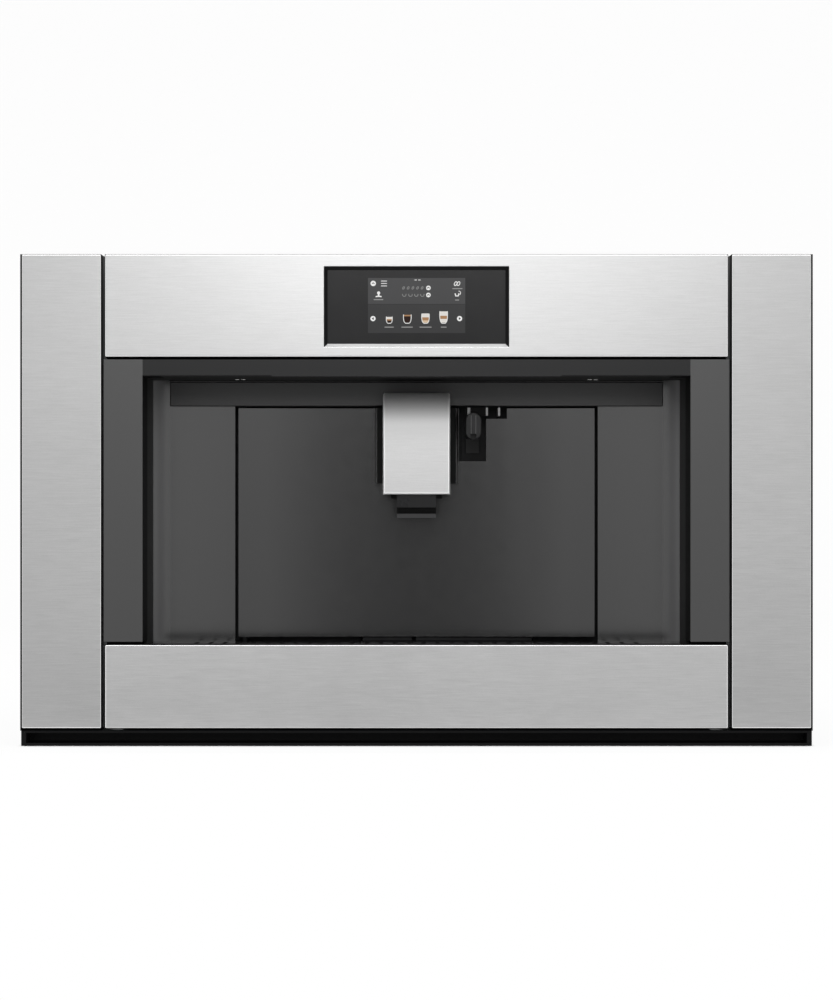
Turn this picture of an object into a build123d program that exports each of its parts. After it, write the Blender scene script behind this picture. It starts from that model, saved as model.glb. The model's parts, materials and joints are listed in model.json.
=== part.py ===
from build123d import *
import os

os.makedirs("parts", exist_ok=True)

# Built-in coffee machine in millimetres.  +X is right, -Y is the front, +Z is up.
# The origin lies on the niche floor, at the middle of the outer box.

# ---- driving dimensions: the front as it is seen ------------------------------------------
FRONT_WIDTH = 597.0          # fascia and bottom panel
FRONT_HEIGHT = 454.2         # from the bottom panel's foot to the fascia's top
OVERALL_DEPTH = 475.0
TRIM_WIDTH = 76.7            # one stainless side trim
TRIM_GAP = 3.1               # black joint between trim and machine
TRIM_EDGE = 1.15             # black carrier edge outside each trim
STRIP_HEIGHT = 15.1          # vent strip under the front
STRIP_SETBACK = 6.0
FRONT_LIFT = 2.1             # joint between strip and panels
FASCIA_HEIGHT = 98.6
BOTTOM_PANEL_HEIGHT = 80.3
PANEL_JOINT = 2.0            # joint between fascia and cavity frame
SHEET = 1.5                  # stainless sheet of panels and trims
EDGE_BEVEL = 1.0
PANEL_DEPTH = 18.5           # fold depth of the stainless panels
FIT_GAP = 0.2                # around parts that drop into a cut-out

# ---- display ------------------------------------------------------------------------------
DISPLAY_WIDTH = 177.0
DISPLAY_HEIGHT = 77.2
DISPLAY_BELOW_TOP = 11.8     # from the fascia's top edge to the opening
BEZEL_SLOPE = 3.4
BEZEL_LAND = 0.3
BEZEL_FIT = 0.1              # between the bezel and the fascia's opening
SCREEN_WIDTH = 93.0
SCREEN_HEIGHT = 52.6
SCREEN_RAISE = 1.1           # lit area above the opening's middle

# ---- cavity -------------------------------------------------------------------------------
CAVITY_WIDTH = 524.6         # between the inner side walls
CAVITY_DEPTH = 108.5         # from the front face to the wing panels
FRAME_OVERHANG = 1.4         # cavity frame wider than the fascia, each side
FRAME_SET = 1.0              # frame face behind the fascia face
FRAME_SHEET = 2.5
FRAME_TOP_BAND = 15.9
FRAME_FOOT_GAP = 2.5         # side bands end above the bottom panel
FRAME_RETURN = 45.0
LIP_WIDTH = 278.0            # slight drop in the middle of the top band
LIP_DROP = 0.7
FLOOR_DROP = 2.7             # cup tray below the bottom panel's top
WALL_STEP = 0.5
HEADER_WIDTH = 491.0
HEADER_HEIGHT = 24.0
HEADER_PROUD = 8.0
HEADER_GAP = 1.3
LAMP_SPACING = 348.0
LAMP_SETBACK = 77.0
LENS_RADIUS = 2.2
LENS_PITCH = 6.0

# ---- service door -------------------------------------------------------------------------
DOOR_WIDTH = 355.5
DOOR_FOOT_GAP = 4.6          # above the cup tray
DOOR_SIDE_GAP = 3.3
DOOR_TOP_GAP = 2.0
DOOR_HOLLOW = 6.0            # how far the face curves in at its middle
DOOR_SKIN = 3.5
DOOR_RIM = 3.0
DOOR_RIM_DEPTH = 16.0        # from the face line to the liner
LINER_SHEET = 2.5
PIN_INSET = 5.75             # hinge axis from the door's left edge
PIN_SETBACK = 4.5            # hinge axis behind the face line
PIN_RADIUS = 2.5
PIN_CLEARANCE = 0.06
BARREL_RADIUS = 4.0
BARREL_LENGTH = 25.0
PIN_REACH = 15.0
NOTCH_LEFT = 42.4
NOTCH_RIGHT = 69.6
NOTCH_FAR_RIGHT = 90.4
NOTCH_DEPTH = 52.8
NOTCH_SHALLOW = 10.4

# ---- coffee spout -------------------------------------------------------------------------
COVER_WIDTH = 65.4
COVER_HEIGHT = 100.2
COVER_RADIUS = 36.0
COVER_DROP = 86.3            # lower edge of the cover below the door's top
COVER_SETBACK = 38.0         # cover face behind the front face
COVER_REACH = 54.5           # depth of the cover
GUIDE_WIDTH = 83.2
GUIDE_HEIGHT = 74.8
GUIDE_PROUD = 12.0           # guide face in front of the door's edge line
GUIDE_ROUND = 5.0
SLOT_NECK = 20.4
SLOT_HEAD = 28.0
SLOT_NECK_DEPTH = 6.0
SLOT_HEAD_DEPTH = 6.0
SLIDE_CLEARANCE = 0.4
OUTLET_WIDTH = 38.0
OUTLET_DROP = 22.7           # outlet below the cover

# ---- hot water ----------------------------------------------------------------------------
NOZZLE_X = 56.3
NOZZLE_RADIUS = 5.0
WATER_SPOUT_WIDTH = 15.7
NOZZLE_DROP = 13.6           # nozzle axis below the door's top
WATER_SPOUT_RISE = 8.6       # top of the spout above the nozzle axis
WATER_SPOUT_DROP = 18.4      # and its tip below it
WATER_SPOUT_SETBACK = 80.0   # its face behind the front face

# ---- carcass ------------------------------------------------------------------------------
CASE_WIDTH = 540.0
CASE_SHEET = 1.2
CHASSIS_SHEET = 1.5
CASE_FOOT = 22.0
CASE_DROP = 5.4              # top cover below the fascia's top
CARRIER_SHEET = 1.5
REAR_PROUD = 3.0             # inlet flange behind the rear panel
BULKHEAD_SETBACK = 131.5     # bulkhead face behind the front face
BULKHEAD_SHEET = 3.0
SHELF_FRONT = 72.0
SHELF_HEIGHT = 240.0

# ---- base frame and runners ---------------------------------------------------------------
BASE_SHEET = 1.5
BASE_WALL_HEIGHT = 60.0
RUNNER_MIDDLE_HEIGHT = 40.0  # height of the runners' centre line
RUNNER_SPACE = 12.8          # between the case and the base frame's wall
RUNNER_SHEET = 1.6
RUNNER_LENGTH = 400.0
RUNNER_HALF_HEIGHT = 18.0
RUNNER_CLEARANCE = 0.4

# ---- derived places -----------------------------------------------------------------------
FRONT_Y = -OVERALL_DEPTH / 2
BACK_Y = OVERALL_DEPTH / 2
HALF_FRONT = FRONT_WIDTH / 2
TRIM_IN = HALF_FRONT + TRIM_GAP
TRIM_OUT = TRIM_IN + TRIM_WIDTH
HALF_OVERALL = TRIM_OUT + TRIM_EDGE
PANEL_FOOT = STRIP_HEIGHT + FRONT_LIFT
TOP_Z = PANEL_FOOT + FRONT_HEIGHT
FASCIA_FOOT = TOP_Z - FASCIA_HEIGHT
BOTTOM_PANEL_TOP = PANEL_FOOT + BOTTOM_PANEL_HEIGHT
PANEL_BACK_Y = FRONT_Y + PANEL_DEPTH
CARRIER_BACK_Y = PANEL_BACK_Y + CARRIER_SHEET
FRAME_Y = FRONT_Y + FRAME_SET
FRAME_HALF = HALF_FRONT + FRAME_OVERHANG
FRAME_TOP = FASCIA_FOOT - PANEL_JOINT
CEILING_Z = FRAME_TOP - FRAME_TOP_BAND
FRAME_FOOT = BOTTOM_PANEL_TOP + FRAME_FOOT_GAP
RETURN_BACK_Y = FRAME_Y + FRAME_RETURN
HALF_CAVITY = CAVITY_WIDTH / 2
WING_Y = FRONT_Y + CAVITY_DEPTH
WING_BACK_Y = WING_Y + FRAME_SHEET
FLOOR_Z = BOTTOM_PANEL_TOP - FLOOR_DROP
HALF_HEADER = HEADER_WIDTH / 2
HEADER_TOP = CEILING_Z - HEADER_GAP
HEADER_FOOT = HEADER_TOP - HEADER_HEIGHT
WALL_X = HALF_CAVITY + WALL_STEP
WALL_OUT_X = WALL_X + FRAME_SHEET
HALF_DOOR = DOOR_WIDTH / 2
DOOR_TOP = HEADER_FOOT - DOOR_TOP_GAP
DOOR_FOOT = FLOOR_Z + DOOR_FOOT_GAP
DOOR_HEIGHT = DOOR_TOP - DOOR_FOOT
HALF_OPENING = HALF_DOOR + DOOR_SIDE_GAP
PIN_X = -HALF_DOOR + PIN_INSET
PIN_Y = WING_Y + PIN_SETBACK
RIM_BACK_Y = WING_Y + DOOR_RIM_DEPTH
LINER_BACK_Y = RIM_BACK_Y + LINER_SHEET
BULKHEAD_Y = FRONT_Y + BULKHEAD_SETBACK
BULKHEAD_BACK_Y = BULKHEAD_Y + BULKHEAD_SHEET
HALF_CASE = CASE_WIDTH / 2
CASE_IN = HALF_CASE - CASE_SHEET
CASE_BACK_Y = BACK_Y - REAR_PROUD
CASE_TOP = TOP_Z - CASE_DROP
CASE_BACK_IN = CASE_BACK_Y - CASE_SHEET
CHASSIS_TOP = CASE_FOOT + CHASSIS_SHEET
CASE_TOP_IN = CASE_TOP - CASE_SHEET
DISPLAY_TOP = TOP_Z - DISPLAY_BELOW_TOP
DISPLAY_Z = DISPLAY_TOP - DISPLAY_HEIGHT / 2
GLASS_Y = FRONT_Y + BEZEL_LAND + BEZEL_SLOPE
GUIDE_Y = WING_Y - GUIDE_PROUD
GUIDE_TOP = DOOR_TOP - FIT_GAP
GUIDE_FOOT = GUIDE_TOP - GUIDE_HEIGHT
COVER_Y = FRONT_Y + COVER_SETBACK
COVER_FOOT = DOOR_TOP - COVER_DROP
COVER_TOP = COVER_FOOT + COVER_HEIGHT
COVER_BACK_Y = COVER_Y + COVER_REACH
OUTLET_FOOT = COVER_FOOT - OUTLET_DROP
SHELF_TOP = SHELF_HEIGHT + CASE_SHEET
BASE_WALL_X = HALF_CASE + RUNNER_SPACE
BASE_OUT_X = BASE_WALL_X + BASE_SHEET
HANDS = ((-1, "left"), (1, "right"))


def block(x, y, z, mode=Mode.ADD):
    """Box between two limits on each axis."""
    with Locations(((x[0] + x[1]) / 2, (y[0] + y[1]) / 2, (z[0] + z[1]) / 2)):
        Box(x[1] - x[0], y[1] - y[0], z[1] - z[0], mode=mode)


def sides(side, low, high):
    """X limits on one side: mirrored when side is -1."""
    return (low, high) if side > 0 else (-high, -low)


def rod_y(x, z, radius, y, mode=Mode.ADD):
    """Round bar or hole along Y."""
    with Locations(Location((x, (y[0] + y[1]) / 2, z), (90, 0, 0))):
        Cylinder(radius, y[1] - y[0], mode=mode)


def rod_x(y, z, radius, x, mode=Mode.ADD):
    """Round bar or hole along X."""
    with Locations(Location(((x[0] + x[1]) / 2, y, z), (0, 90, 0))):
        Cylinder(radius, x[1] - x[0], mode=mode)


def rod_z(x, y, radius, z, mode=Mode.ADD):
    """Round bar or hole along Z."""
    with Locations((x, y, (z[0] + z[1]) / 2)):
        Cylinder(radius, z[1] - z[0], mode=mode)


def save(builder, name):
    """Label a finished piece and write its file."""
    builder.part.label = name
    export_step(builder.part, f"parts/{name}.step")


# ---- stainless panels ---------------------------------------------------------------------


def folded_panel(panel, x, z):
    """Shallow stainless pan: bevelled face at the front, open at the back."""
    block(x, (FRONT_Y, PANEL_BACK_Y), z)
    chamfer(panel.faces().sort_by(Axis.Y)[0].edges(), EDGE_BEVEL)
    inner_x = (x[0] + SHEET, x[1] - SHEET)
    inner_z = (z[0] + SHEET, z[1] - SHEET)
    block(inner_x, (FRONT_Y + SHEET, PANEL_BACK_Y), inner_z, Mode.SUBTRACT)


with BuildPart() as fascia_panel:
    folded_panel(fascia_panel, (-HALF_FRONT, HALF_FRONT), (FASCIA_FOOT, TOP_Z))
    block(
        (-DISPLAY_WIDTH / 2 - BEZEL_FIT, DISPLAY_WIDTH / 2 + BEZEL_FIT),
        (FRONT_Y, FRONT_Y + SHEET),
        (DISPLAY_TOP - DISPLAY_HEIGHT - BEZEL_FIT, DISPLAY_TOP + BEZEL_FIT),
        Mode.SUBTRACT,
    )
save(fascia_panel, "fascia_panel")

with BuildPart() as bottom_panel:
    folded_panel(bottom_panel, (-HALF_FRONT, HALF_FRONT), (PANEL_FOOT, BOTTOM_PANEL_TOP))
save(bottom_panel, "bottom_panel")

for side, hand in HANDS:
    with BuildPart() as trim_panel:
        folded_panel(trim_panel, sides(side, TRIM_IN, TRIM_OUT), (PANEL_FOOT, TOP_Z))
    save(trim_panel, f"{hand}_trim_panel")

# ---- fixed surround -----------------------------------------------------------------------
BACKING_SHEET = 3.0
FIXING_FLANGE = 66.0         # reach of the trim carrier's fixing flange
FIXING_HOLE_RADIUS = 2.5
FIXING_HOLE_PITCH = 150.0
STRIP_DEPTH = 24.5
STRIP_TOP_LIP = 2.7
STRIP_FOOT_LIP = 2.9
STRIP_END = 5.0
STRIP_WEB = 2.0
STRIP_SLOT = 26.0
STRIP_SLOT_PITCH = 36.0
STRIP_SLOTS = 20
BASE_LENGTH = 430.0
BASE_RAIL = 60.0             # width of the base frame's side rails
FLOOR_HOLE_RADIUS = 2.6
FLOOR_HOLE_SPACING = 500.0
FLOOR_HOLE_PITCH = 370.0
RUNNER_SCREW_PITCH = 170.0
SCREW_RADIUS = 2.0
SCREW_HEAD_RADIUS = 4.0
SCREW_HEAD = 1.8
SCREW_CLEARANCE = 0.05

STRIP_Y = FRONT_Y + STRIP_SETBACK
STRIP_BACK_Y = STRIP_Y + STRIP_DEPTH
BACKING_BACK_Y = PANEL_BACK_Y + BACKING_SHEET
BASE_BACK_Y = STRIP_BACK_Y + BASE_LENGTH
FRONT_MIDDLE = PANEL_FOOT + FRONT_HEIGHT / 2
RUNNER_Y = STRIP_BACK_Y + 2.0
RUNNER_BACK_Y = RUNNER_Y + RUNNER_LENGTH
RUNNER_MID_Y = (RUNNER_Y + RUNNER_BACK_Y) / 2
SCREW_PLACES = (RUNNER_MID_Y - RUNNER_SCREW_PITCH, RUNNER_MID_Y, RUNNER_MID_Y + RUNNER_SCREW_PITCH)

for side, hand in HANDS:
    with BuildPart() as trim_backing:
        block(
            sides(side, TRIM_IN, HALF_OVERALL),
            (PANEL_BACK_Y, BACKING_BACK_Y),
            (STRIP_HEIGHT, TOP_Z),
        )
        block(
            sides(side, TRIM_OUT, HALF_OVERALL),
            (FRONT_Y + EDGE_BEVEL, PANEL_BACK_Y),
            (STRIP_HEIGHT, TOP_Z),
        )
        block(
            sides(side, TRIM_IN, TRIM_IN + BACKING_SHEET),
            (BACKING_BACK_Y, BACKING_BACK_Y + FIXING_FLANGE),
            (STRIP_HEIGHT, TOP_Z),
        )
        for step in (-1, 0, 1):
            rod_x(
                BACKING_BACK_Y + FIXING_FLANGE / 2,
                FRONT_MIDDLE + step * FIXING_HOLE_PITCH,
                FIXING_HOLE_RADIUS,
                sides(side, TRIM_IN, TRIM_IN + BACKING_SHEET),
                Mode.SUBTRACT,
            )
    save(trim_backing, f"{hand}_trim_backing")

with BuildPart() as vent_strip:
    block((-HALF_OVERALL, HALF_OVERALL), (STRIP_Y, STRIP_BACK_Y), (0, STRIP_HEIGHT))
    block(
        (-HALF_OVERALL + STRIP_END, HALF_OVERALL - STRIP_END),
        (STRIP_Y, STRIP_BACK_Y - STRIP_WEB),
        (STRIP_FOOT_LIP, STRIP_HEIGHT - STRIP_TOP_LIP),
        Mode.SUBTRACT,
    )
    with BuildSketch(Plane.XY.offset(STRIP_HEIGHT - STRIP_TOP_LIP)):
        with Locations((0, (STRIP_Y + STRIP_BACK_Y) / 2)):
            with GridLocations(STRIP_SLOT_PITCH, 1, STRIP_SLOTS, 1):
                SlotOverall(STRIP_SLOT, STRIP_HEIGHT / 3)
    extrude(amount=STRIP_TOP_LIP, mode=Mode.SUBTRACT)
save(vent_strip, "vent_strip")

with BuildPart() as base_frame:
    block((-BASE_OUT_X, BASE_OUT_X), (STRIP_BACK_Y, BASE_BACK_Y), (0, BASE_SHEET))
    block(
        (-BASE_WALL_X + BASE_RAIL, BASE_WALL_X - BASE_RAIL),
        (STRIP_BACK_Y + BASE_RAIL, BASE_BACK_Y - BASE_RAIL),
        (0, BASE_SHEET),
        Mode.SUBTRACT,
    )
    for side in (-1, 1):
        block(sides(side, BASE_WALL_X, BASE_OUT_X), (STRIP_BACK_Y, BASE_BACK_Y), (0, BASE_WALL_HEIGHT))
        for place in SCREW_PLACES:
            rod_x(
                place,
                RUNNER_MIDDLE_HEIGHT,
                SCREW_RADIUS + SCREW_CLEARANCE,
                sides(side, BASE_WALL_X, BASE_OUT_X),
                Mode.SUBTRACT,
            )
    with BuildSketch(Plane.XY):
        with Locations((0, RUNNER_MID_Y)):
            with GridLocations(FLOOR_HOLE_SPACING, FLOOR_HOLE_PITCH, 2, 2):
                Circle(FLOOR_HOLE_RADIUS)
    extrude(amount=BASE_SHEET, mode=Mode.SUBTRACT)
save(base_frame, "base_frame")


# ---- telescopic runners -------------------------------------------------------------------


def channel(side, web, tip, half_height):
    """Channel along Y: web is its X limits, tip where its flanges end."""
    length = (RUNNER_Y, RUNNER_BACK_Y)
    reach = (min(web[0], tip), max(web[1], tip))
    top = (RUNNER_MIDDLE_HEIGHT + half_height - RUNNER_SHEET, RUNNER_MIDDLE_HEIGHT + half_height)
    foot = (RUNNER_MIDDLE_HEIGHT - half_height, RUNNER_MIDDLE_HEIGHT - half_height + RUNNER_SHEET)
    block(sides(side, *web), length, (foot[0], top[1]))
    block(sides(side, *reach), length, top)
    block(sides(side, *reach), length, foot)


STEP_IN = RUNNER_SHEET + RUNNER_CLEARANCE
OUTER_WEB = (BASE_WALL_X - RUNNER_SHEET, BASE_WALL_X)
MIDDLE_WEB = (OUTER_WEB[0] - STEP_IN, OUTER_WEB[1] - STEP_IN)
INNER_WEB = (HALF_CASE, HALF_CASE + RUNNER_SHEET)
FLANGE_TIP = INNER_WEB[1] + 2 * RUNNER_CLEARANCE

for side, hand in HANDS:
    with BuildPart() as runner_outer:
        channel(side, OUTER_WEB, FLANGE_TIP, RUNNER_HALF_HEIGHT)
        for place in SCREW_PLACES:
            rod_x(
                place,
                RUNNER_MIDDLE_HEIGHT,
                SCREW_RADIUS + SCREW_CLEARANCE,
                sides(side, *OUTER_WEB),
                Mode.SUBTRACT,
            )
    save(runner_outer, f"{hand}_runner_outer")
    with BuildPart() as runner_middle:
        channel(side, MIDDLE_WEB, FLANGE_TIP, RUNNER_HALF_HEIGHT - STEP_IN)
    save(runner_middle, f"{hand}_runner_middle")
    with BuildPart() as runner_inner:
        channel(side, INNER_WEB, MIDDLE_WEB[0] - RUNNER_CLEARANCE, RUNNER_HALF_HEIGHT - 2 * STEP_IN)
    save(runner_inner, f"{hand}_runner_inner")

with BuildPart() as base_screws:
    for side in (-1, 1):
        for place in SCREW_PLACES:
            rod_x(place, RUNNER_MIDDLE_HEIGHT, SCREW_RADIUS, sides(side, OUTER_WEB[0], BASE_OUT_X))
            head = sides(side, BASE_OUT_X, BASE_OUT_X + SCREW_HEAD)
            rod_x(place, RUNNER_MIDDLE_HEIGHT, SCREW_HEAD_RADIUS, head)
save(base_screws, "base_screws")

# ---- carcass ------------------------------------------------------------------------------
CHASSIS_FLANGE = 14.0
VENT_SLOT = 46.0
VENT_SLOT_WIDTH = 5.0
VENT_PITCH = 15.0
SIDE_VENTS = 12
SIDE_VENT_DROP = 66.0        # below the top cover
FLOOR_VENT_ROWS = 3
FLOOR_VENT_ROW_PITCH = 90.0
DISPLAY_BAY = 6.0            # carrier opening around the display opening
DECK_LEFT, DECK_RIGHT = -73.0, 93.0
DECK_FRONT, DECK_BACK = -68.0, 153.0
FAN_X = 180.0
FAN_DROP = 76.0              # fan axis below the top cover
FAN_SIZE = 80.0
FAN_DEPTH = 25.0
FAN_HOLE_RADIUS = 37.5
GUARD_SLOTS = 18
GUARD_SLOT = 16.0
GUARD_SLOT_WIDTH = 4.0
GUARD_RING = 24.0
FAN_Z = CASE_TOP - FAN_DROP
INLET_X = -188.0
INLET_Z = 60.0
INLET_WIDTH = 50.0
INLET_HEIGHT = 28.0

with BuildPart() as chassis_base:
    block((-CASE_IN, CASE_IN), (CARRIER_BACK_Y, CASE_BACK_IN), (CASE_FOOT, CHASSIS_TOP))
    for side in (-1, 1):
        block(
            sides(side, CASE_IN - CHASSIS_SHEET, CASE_IN),
            (CARRIER_BACK_Y, CASE_BACK_IN),
            (CHASSIS_TOP, CHASSIS_TOP + CHASSIS_FLANGE),
        )
    with BuildSketch(Plane.XY.offset(CASE_FOOT)):
        with GridLocations(VENT_PITCH, FLOOR_VENT_ROW_PITCH, SIDE_VENTS, FLOOR_VENT_ROWS):
            SlotOverall(VENT_SLOT, VENT_SLOT_WIDTH, rotation=90)
    extrude(amount=CHASSIS_SHEET, mode=Mode.SUBTRACT)
save(chassis_base, "chassis_base")

for side, hand in HANDS:
    with BuildPart() as side_panel:
        block(sides(side, CASE_IN, HALF_CASE), (CARRIER_BACK_Y, CASE_BACK_IN), (CASE_FOOT, CASE_TOP_IN))
        with BuildSketch(Plane.YZ.offset(side * CASE_IN)):
            with Locations((SHELF_FRONT, CASE_TOP - SIDE_VENT_DROP)):
                with GridLocations(VENT_PITCH, 1, SIDE_VENTS, 1):
                    SlotOverall(VENT_SLOT, VENT_SLOT_WIDTH, rotation=90)
        extrude(amount=side * CASE_SHEET, mode=Mode.SUBTRACT)
    save(side_panel, f"{hand}_side_panel")

with BuildPart() as rear_panel:
    block((-HALF_CASE, HALF_CASE), (CASE_BACK_IN, CASE_BACK_Y), (CASE_FOOT, CASE_TOP))
    with BuildSketch(Plane.XZ.offset(-CASE_BACK_Y)):
        with Locations((FAN_X, FAN_Z)):
            with PolarLocations(GUARD_RING, GUARD_SLOTS):
                SlotOverall(GUARD_SLOT, GUARD_SLOT_WIDTH)
        with Locations((INLET_X, INLET_Z)):
            Rectangle(INLET_WIDTH + 2 * FIT_GAP, INLET_HEIGHT + 2 * FIT_GAP)
    extrude(amount=CASE_SHEET, mode=Mode.SUBTRACT)
save(rear_panel, "rear_panel")

with BuildPart() as top_cover:
    block((-HALF_CASE, HALF_CASE), (CARRIER_BACK_Y, CASE_BACK_IN), (CASE_TOP_IN, CASE_TOP))
    block((DECK_LEFT, DECK_RIGHT), (DECK_FRONT, DECK_BACK), (CASE_TOP_IN, CASE_TOP), Mode.SUBTRACT)
    with BuildSketch(Plane.XY.offset(CASE_TOP_IN)):
        with Locations((FAN_X, SHELF_FRONT)):
            with GridLocations(VENT_PITCH, 1, SIDE_VENTS // 2, 1):
                SlotOverall(VENT_SLOT, VENT_SLOT_WIDTH, rotation=90)
    extrude(amount=CASE_SHEET, mode=Mode.SUBTRACT)
save(top_cover, "top_cover")

with BuildPart() as front_carrier:
    block((-HALF_FRONT, HALF_FRONT), (PANEL_BACK_Y, CARRIER_BACK_Y), (PANEL_FOOT, TOP_Z))
    frame_hole = HALF_CAVITY + FRAME_SHEET + FIT_GAP
    block(
        (-frame_hole, frame_hole),
        (PANEL_BACK_Y, CARRIER_BACK_Y),
        (FLOOR_Z - FRAME_SHEET, CEILING_Z + FRAME_SHEET + FIT_GAP),
        Mode.SUBTRACT,
    )
    bay_width = DISPLAY_WIDTH / 2 + DISPLAY_BAY
    bay_height = DISPLAY_HEIGHT / 2 + DISPLAY_BAY
    block(
        (-bay_width, bay_width),
        (PANEL_BACK_Y, CARRIER_BACK_Y),
        (DISPLAY_Z - bay_height, DISPLAY_Z + bay_height),
        Mode.SUBTRACT,
    )
save(front_carrier, "front_carrier")

with BuildPart() as equipment_shelf:
    block((-CASE_IN, CASE_IN), (SHELF_FRONT, CASE_BACK_IN), (SHELF_HEIGHT, SHELF_TOP))
    block(
        (-CASE_IN, CASE_IN),
        (SHELF_FRONT, SHELF_FRONT + CASE_SHEET),
        (SHELF_HEIGHT - CHASSIS_FLANGE, SHELF_HEIGHT),
    )
save(equipment_shelf, "equipment_shelf")

# ---- display ------------------------------------------------------------------------------
BEZEL_FLANGE = 4.0
GLASS_SHEET = 2.0
GLASS_TUCK = 2.0
MODULE_DEPTH = 6.0
BOARD_SHEET = 1.6
BOARD_MARGIN = 30.0

GLASS_WIDTH = DISPLAY_WIDTH - 2 * BEZEL_SLOPE
GLASS_HEIGHT = DISPLAY_HEIGHT - 2 * BEZEL_SLOPE
GLASS_BACK_Y = GLASS_Y + GLASS_SHEET

with BuildPart() as display_bezel:
    block(
        (-DISPLAY_WIDTH / 2, DISPLAY_WIDTH / 2),
        (FRONT_Y + BEZEL_LAND, GLASS_Y),
        (DISPLAY_Z - DISPLAY_HEIGHT / 2, DISPLAY_Z + DISPLAY_HEIGHT / 2),
    )
    block(
        (-DISPLAY_WIDTH / 2 - BEZEL_FLANGE, DISPLAY_WIDTH / 2 + BEZEL_FLANGE),
        (FRONT_Y + SHEET, GLASS_Y),
        (DISPLAY_Z - DISPLAY_HEIGHT / 2 - BEZEL_FLANGE, DISPLAY_Z + DISPLAY_HEIGHT / 2 + BEZEL_FLANGE),
    )
    with BuildSketch(Plane.XZ.offset(-FRONT_Y - BEZEL_LAND)):
        with Locations((0, DISPLAY_Z)):
            Rectangle(DISPLAY_WIDTH - 2 * BEZEL_LAND, DISPLAY_HEIGHT - 2 * BEZEL_LAND)
    with BuildSketch(Plane.XZ.offset(-GLASS_Y)):
        with Locations((0, DISPLAY_Z)):
            Rectangle(GLASS_WIDTH, GLASS_HEIGHT)
    loft(ruled=True, mode=Mode.SUBTRACT)
save(display_bezel, "display_bezel")

with BuildPart() as display_glass:
    block(
        (-GLASS_WIDTH / 2 - GLASS_TUCK, GLASS_WIDTH / 2 + GLASS_TUCK),
        (GLASS_Y, GLASS_BACK_Y),
        (DISPLAY_Z - GLASS_HEIGHT / 2 - GLASS_TUCK, DISPLAY_Z + GLASS_HEIGHT / 2 + GLASS_TUCK),
    )
save(display_glass, "display_glass")

with BuildPart() as display_module:
    screen_z = DISPLAY_Z + SCREEN_RAISE
    block(
        (-SCREEN_WIDTH / 2, SCREEN_WIDTH / 2),
        (GLASS_BACK_Y, GLASS_BACK_Y + MODULE_DEPTH),
        (screen_z - SCREEN_HEIGHT / 2, screen_z + SCREEN_HEIGHT / 2),
    )
    board_x = (SCREEN_WIDTH / 2 + BOARD_MARGIN) / 2
    with Locations((0, GLASS_BACK_Y + MODULE_DEPTH + BOARD_SHEET / 2, screen_z)):
        Box(4 * board_x, BOARD_SHEET, SCREEN_HEIGHT)
    with Locations((0, GLASS_BACK_Y + MODULE_DEPTH + 2 * BOARD_SHEET, screen_z)):
        Box(SCREEN_WIDTH / 3, 2 * BOARD_SHEET, SCREEN_HEIGHT / 3)
save(display_module, "display_module")

# ---- cavity -------------------------------------------------------------------------------
WALL_FOOT_DROP = 6.0
FRAME_EDGE = 0.5
LAMP_WIDTH = 24.0
LAMP_DEPTH = 10.0
LAMP_HEIGHT = 4.0
LENS_PROUD = 0.4
JAMB = 3.0
BACK_PANEL_RISE = 5.0
BRACKET_SHEET = 4.0          # door hinge brackets
HEADER_SHEET = 2.0
HEADER_BEVEL = 0.7
CUP_TRAY_SHEET = 3.5
CUP_TRAY_MARGIN = 0.8
TRAY_SLOT = 30.0
TRAY_SLOT_WIDTH = 4.0
TRAY_SLOT_PITCH = 14.0
TRAY_SLOTS = 32
TRAY_ROW_PITCH = 38.0
BASIN_WALL = 2.0
BASIN_MARGIN = 4.0
BASIN_DEPTH = 29.3
BASIN_REAR_LEFT = -160.0
BASIN_REAR_RIGHT = 178.0

WALL_FOOT = FLOOR_Z - WALL_FOOT_DROP
FLAP_X = HALF_HEADER + FIT_GAP
LAMP_Y = FRONT_Y + LAMP_SETBACK
TRAY_UNDER = FLOOR_Z - CUP_TRAY_SHEET
BASIN_FOOT = TRAY_UNDER - BASIN_DEPTH
TRAY_FRONT_Y = CARRIER_BACK_Y + 1.0
TRAY_BACK_Y = WING_Y - 0.5
BASIN_BACK_Y = BULKHEAD_Y - BASIN_WALL

with BuildPart() as cavity_frame:
    block((-FRAME_HALF, FRAME_HALF), (FRAME_Y, FRAME_Y + FRAME_SHEET), (FRAME_FOOT, FRAME_TOP))
    block(
        (-HALF_CAVITY, HALF_CAVITY),
        (FRAME_Y, FRAME_Y + FRAME_SHEET),
        (FRAME_FOOT, CEILING_Z),
        Mode.SUBTRACT,
    )
    chamfer(cavity_frame.faces().sort_by(Axis.Y)[0].edges(), FRAME_EDGE)
    block(
        (-LIP_WIDTH / 2, LIP_WIDTH / 2),
        (FRAME_Y, FRAME_Y + FRAME_SHEET),
        (CEILING_Z - LIP_DROP, CEILING_Z + LIP_DROP),
    )
    for side in (-1, 1):
        block(
            sides(side, FRAME_HALF - FRAME_SHEET, FRAME_HALF),
            (FRAME_Y + FRAME_SHEET, PANEL_BACK_Y),
            (FRAME_FOOT, FRAME_TOP),
        )
        block(
            sides(side, HALF_CAVITY, HALF_CAVITY + FRAME_SHEET),
            (FRAME_Y + FRAME_SHEET, RETURN_BACK_Y),
            (FRAME_FOOT, CEILING_Z + FRAME_SHEET),
        )
        block(
            sides(side, FLAP_X, HALF_CAVITY + FRAME_SHEET),
            (FRAME_Y + FRAME_SHEET, RETURN_BACK_Y),
            (CEILING_Z, CEILING_Z + FRAME_SHEET),
        )
save(cavity_frame, "cavity_frame")

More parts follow.
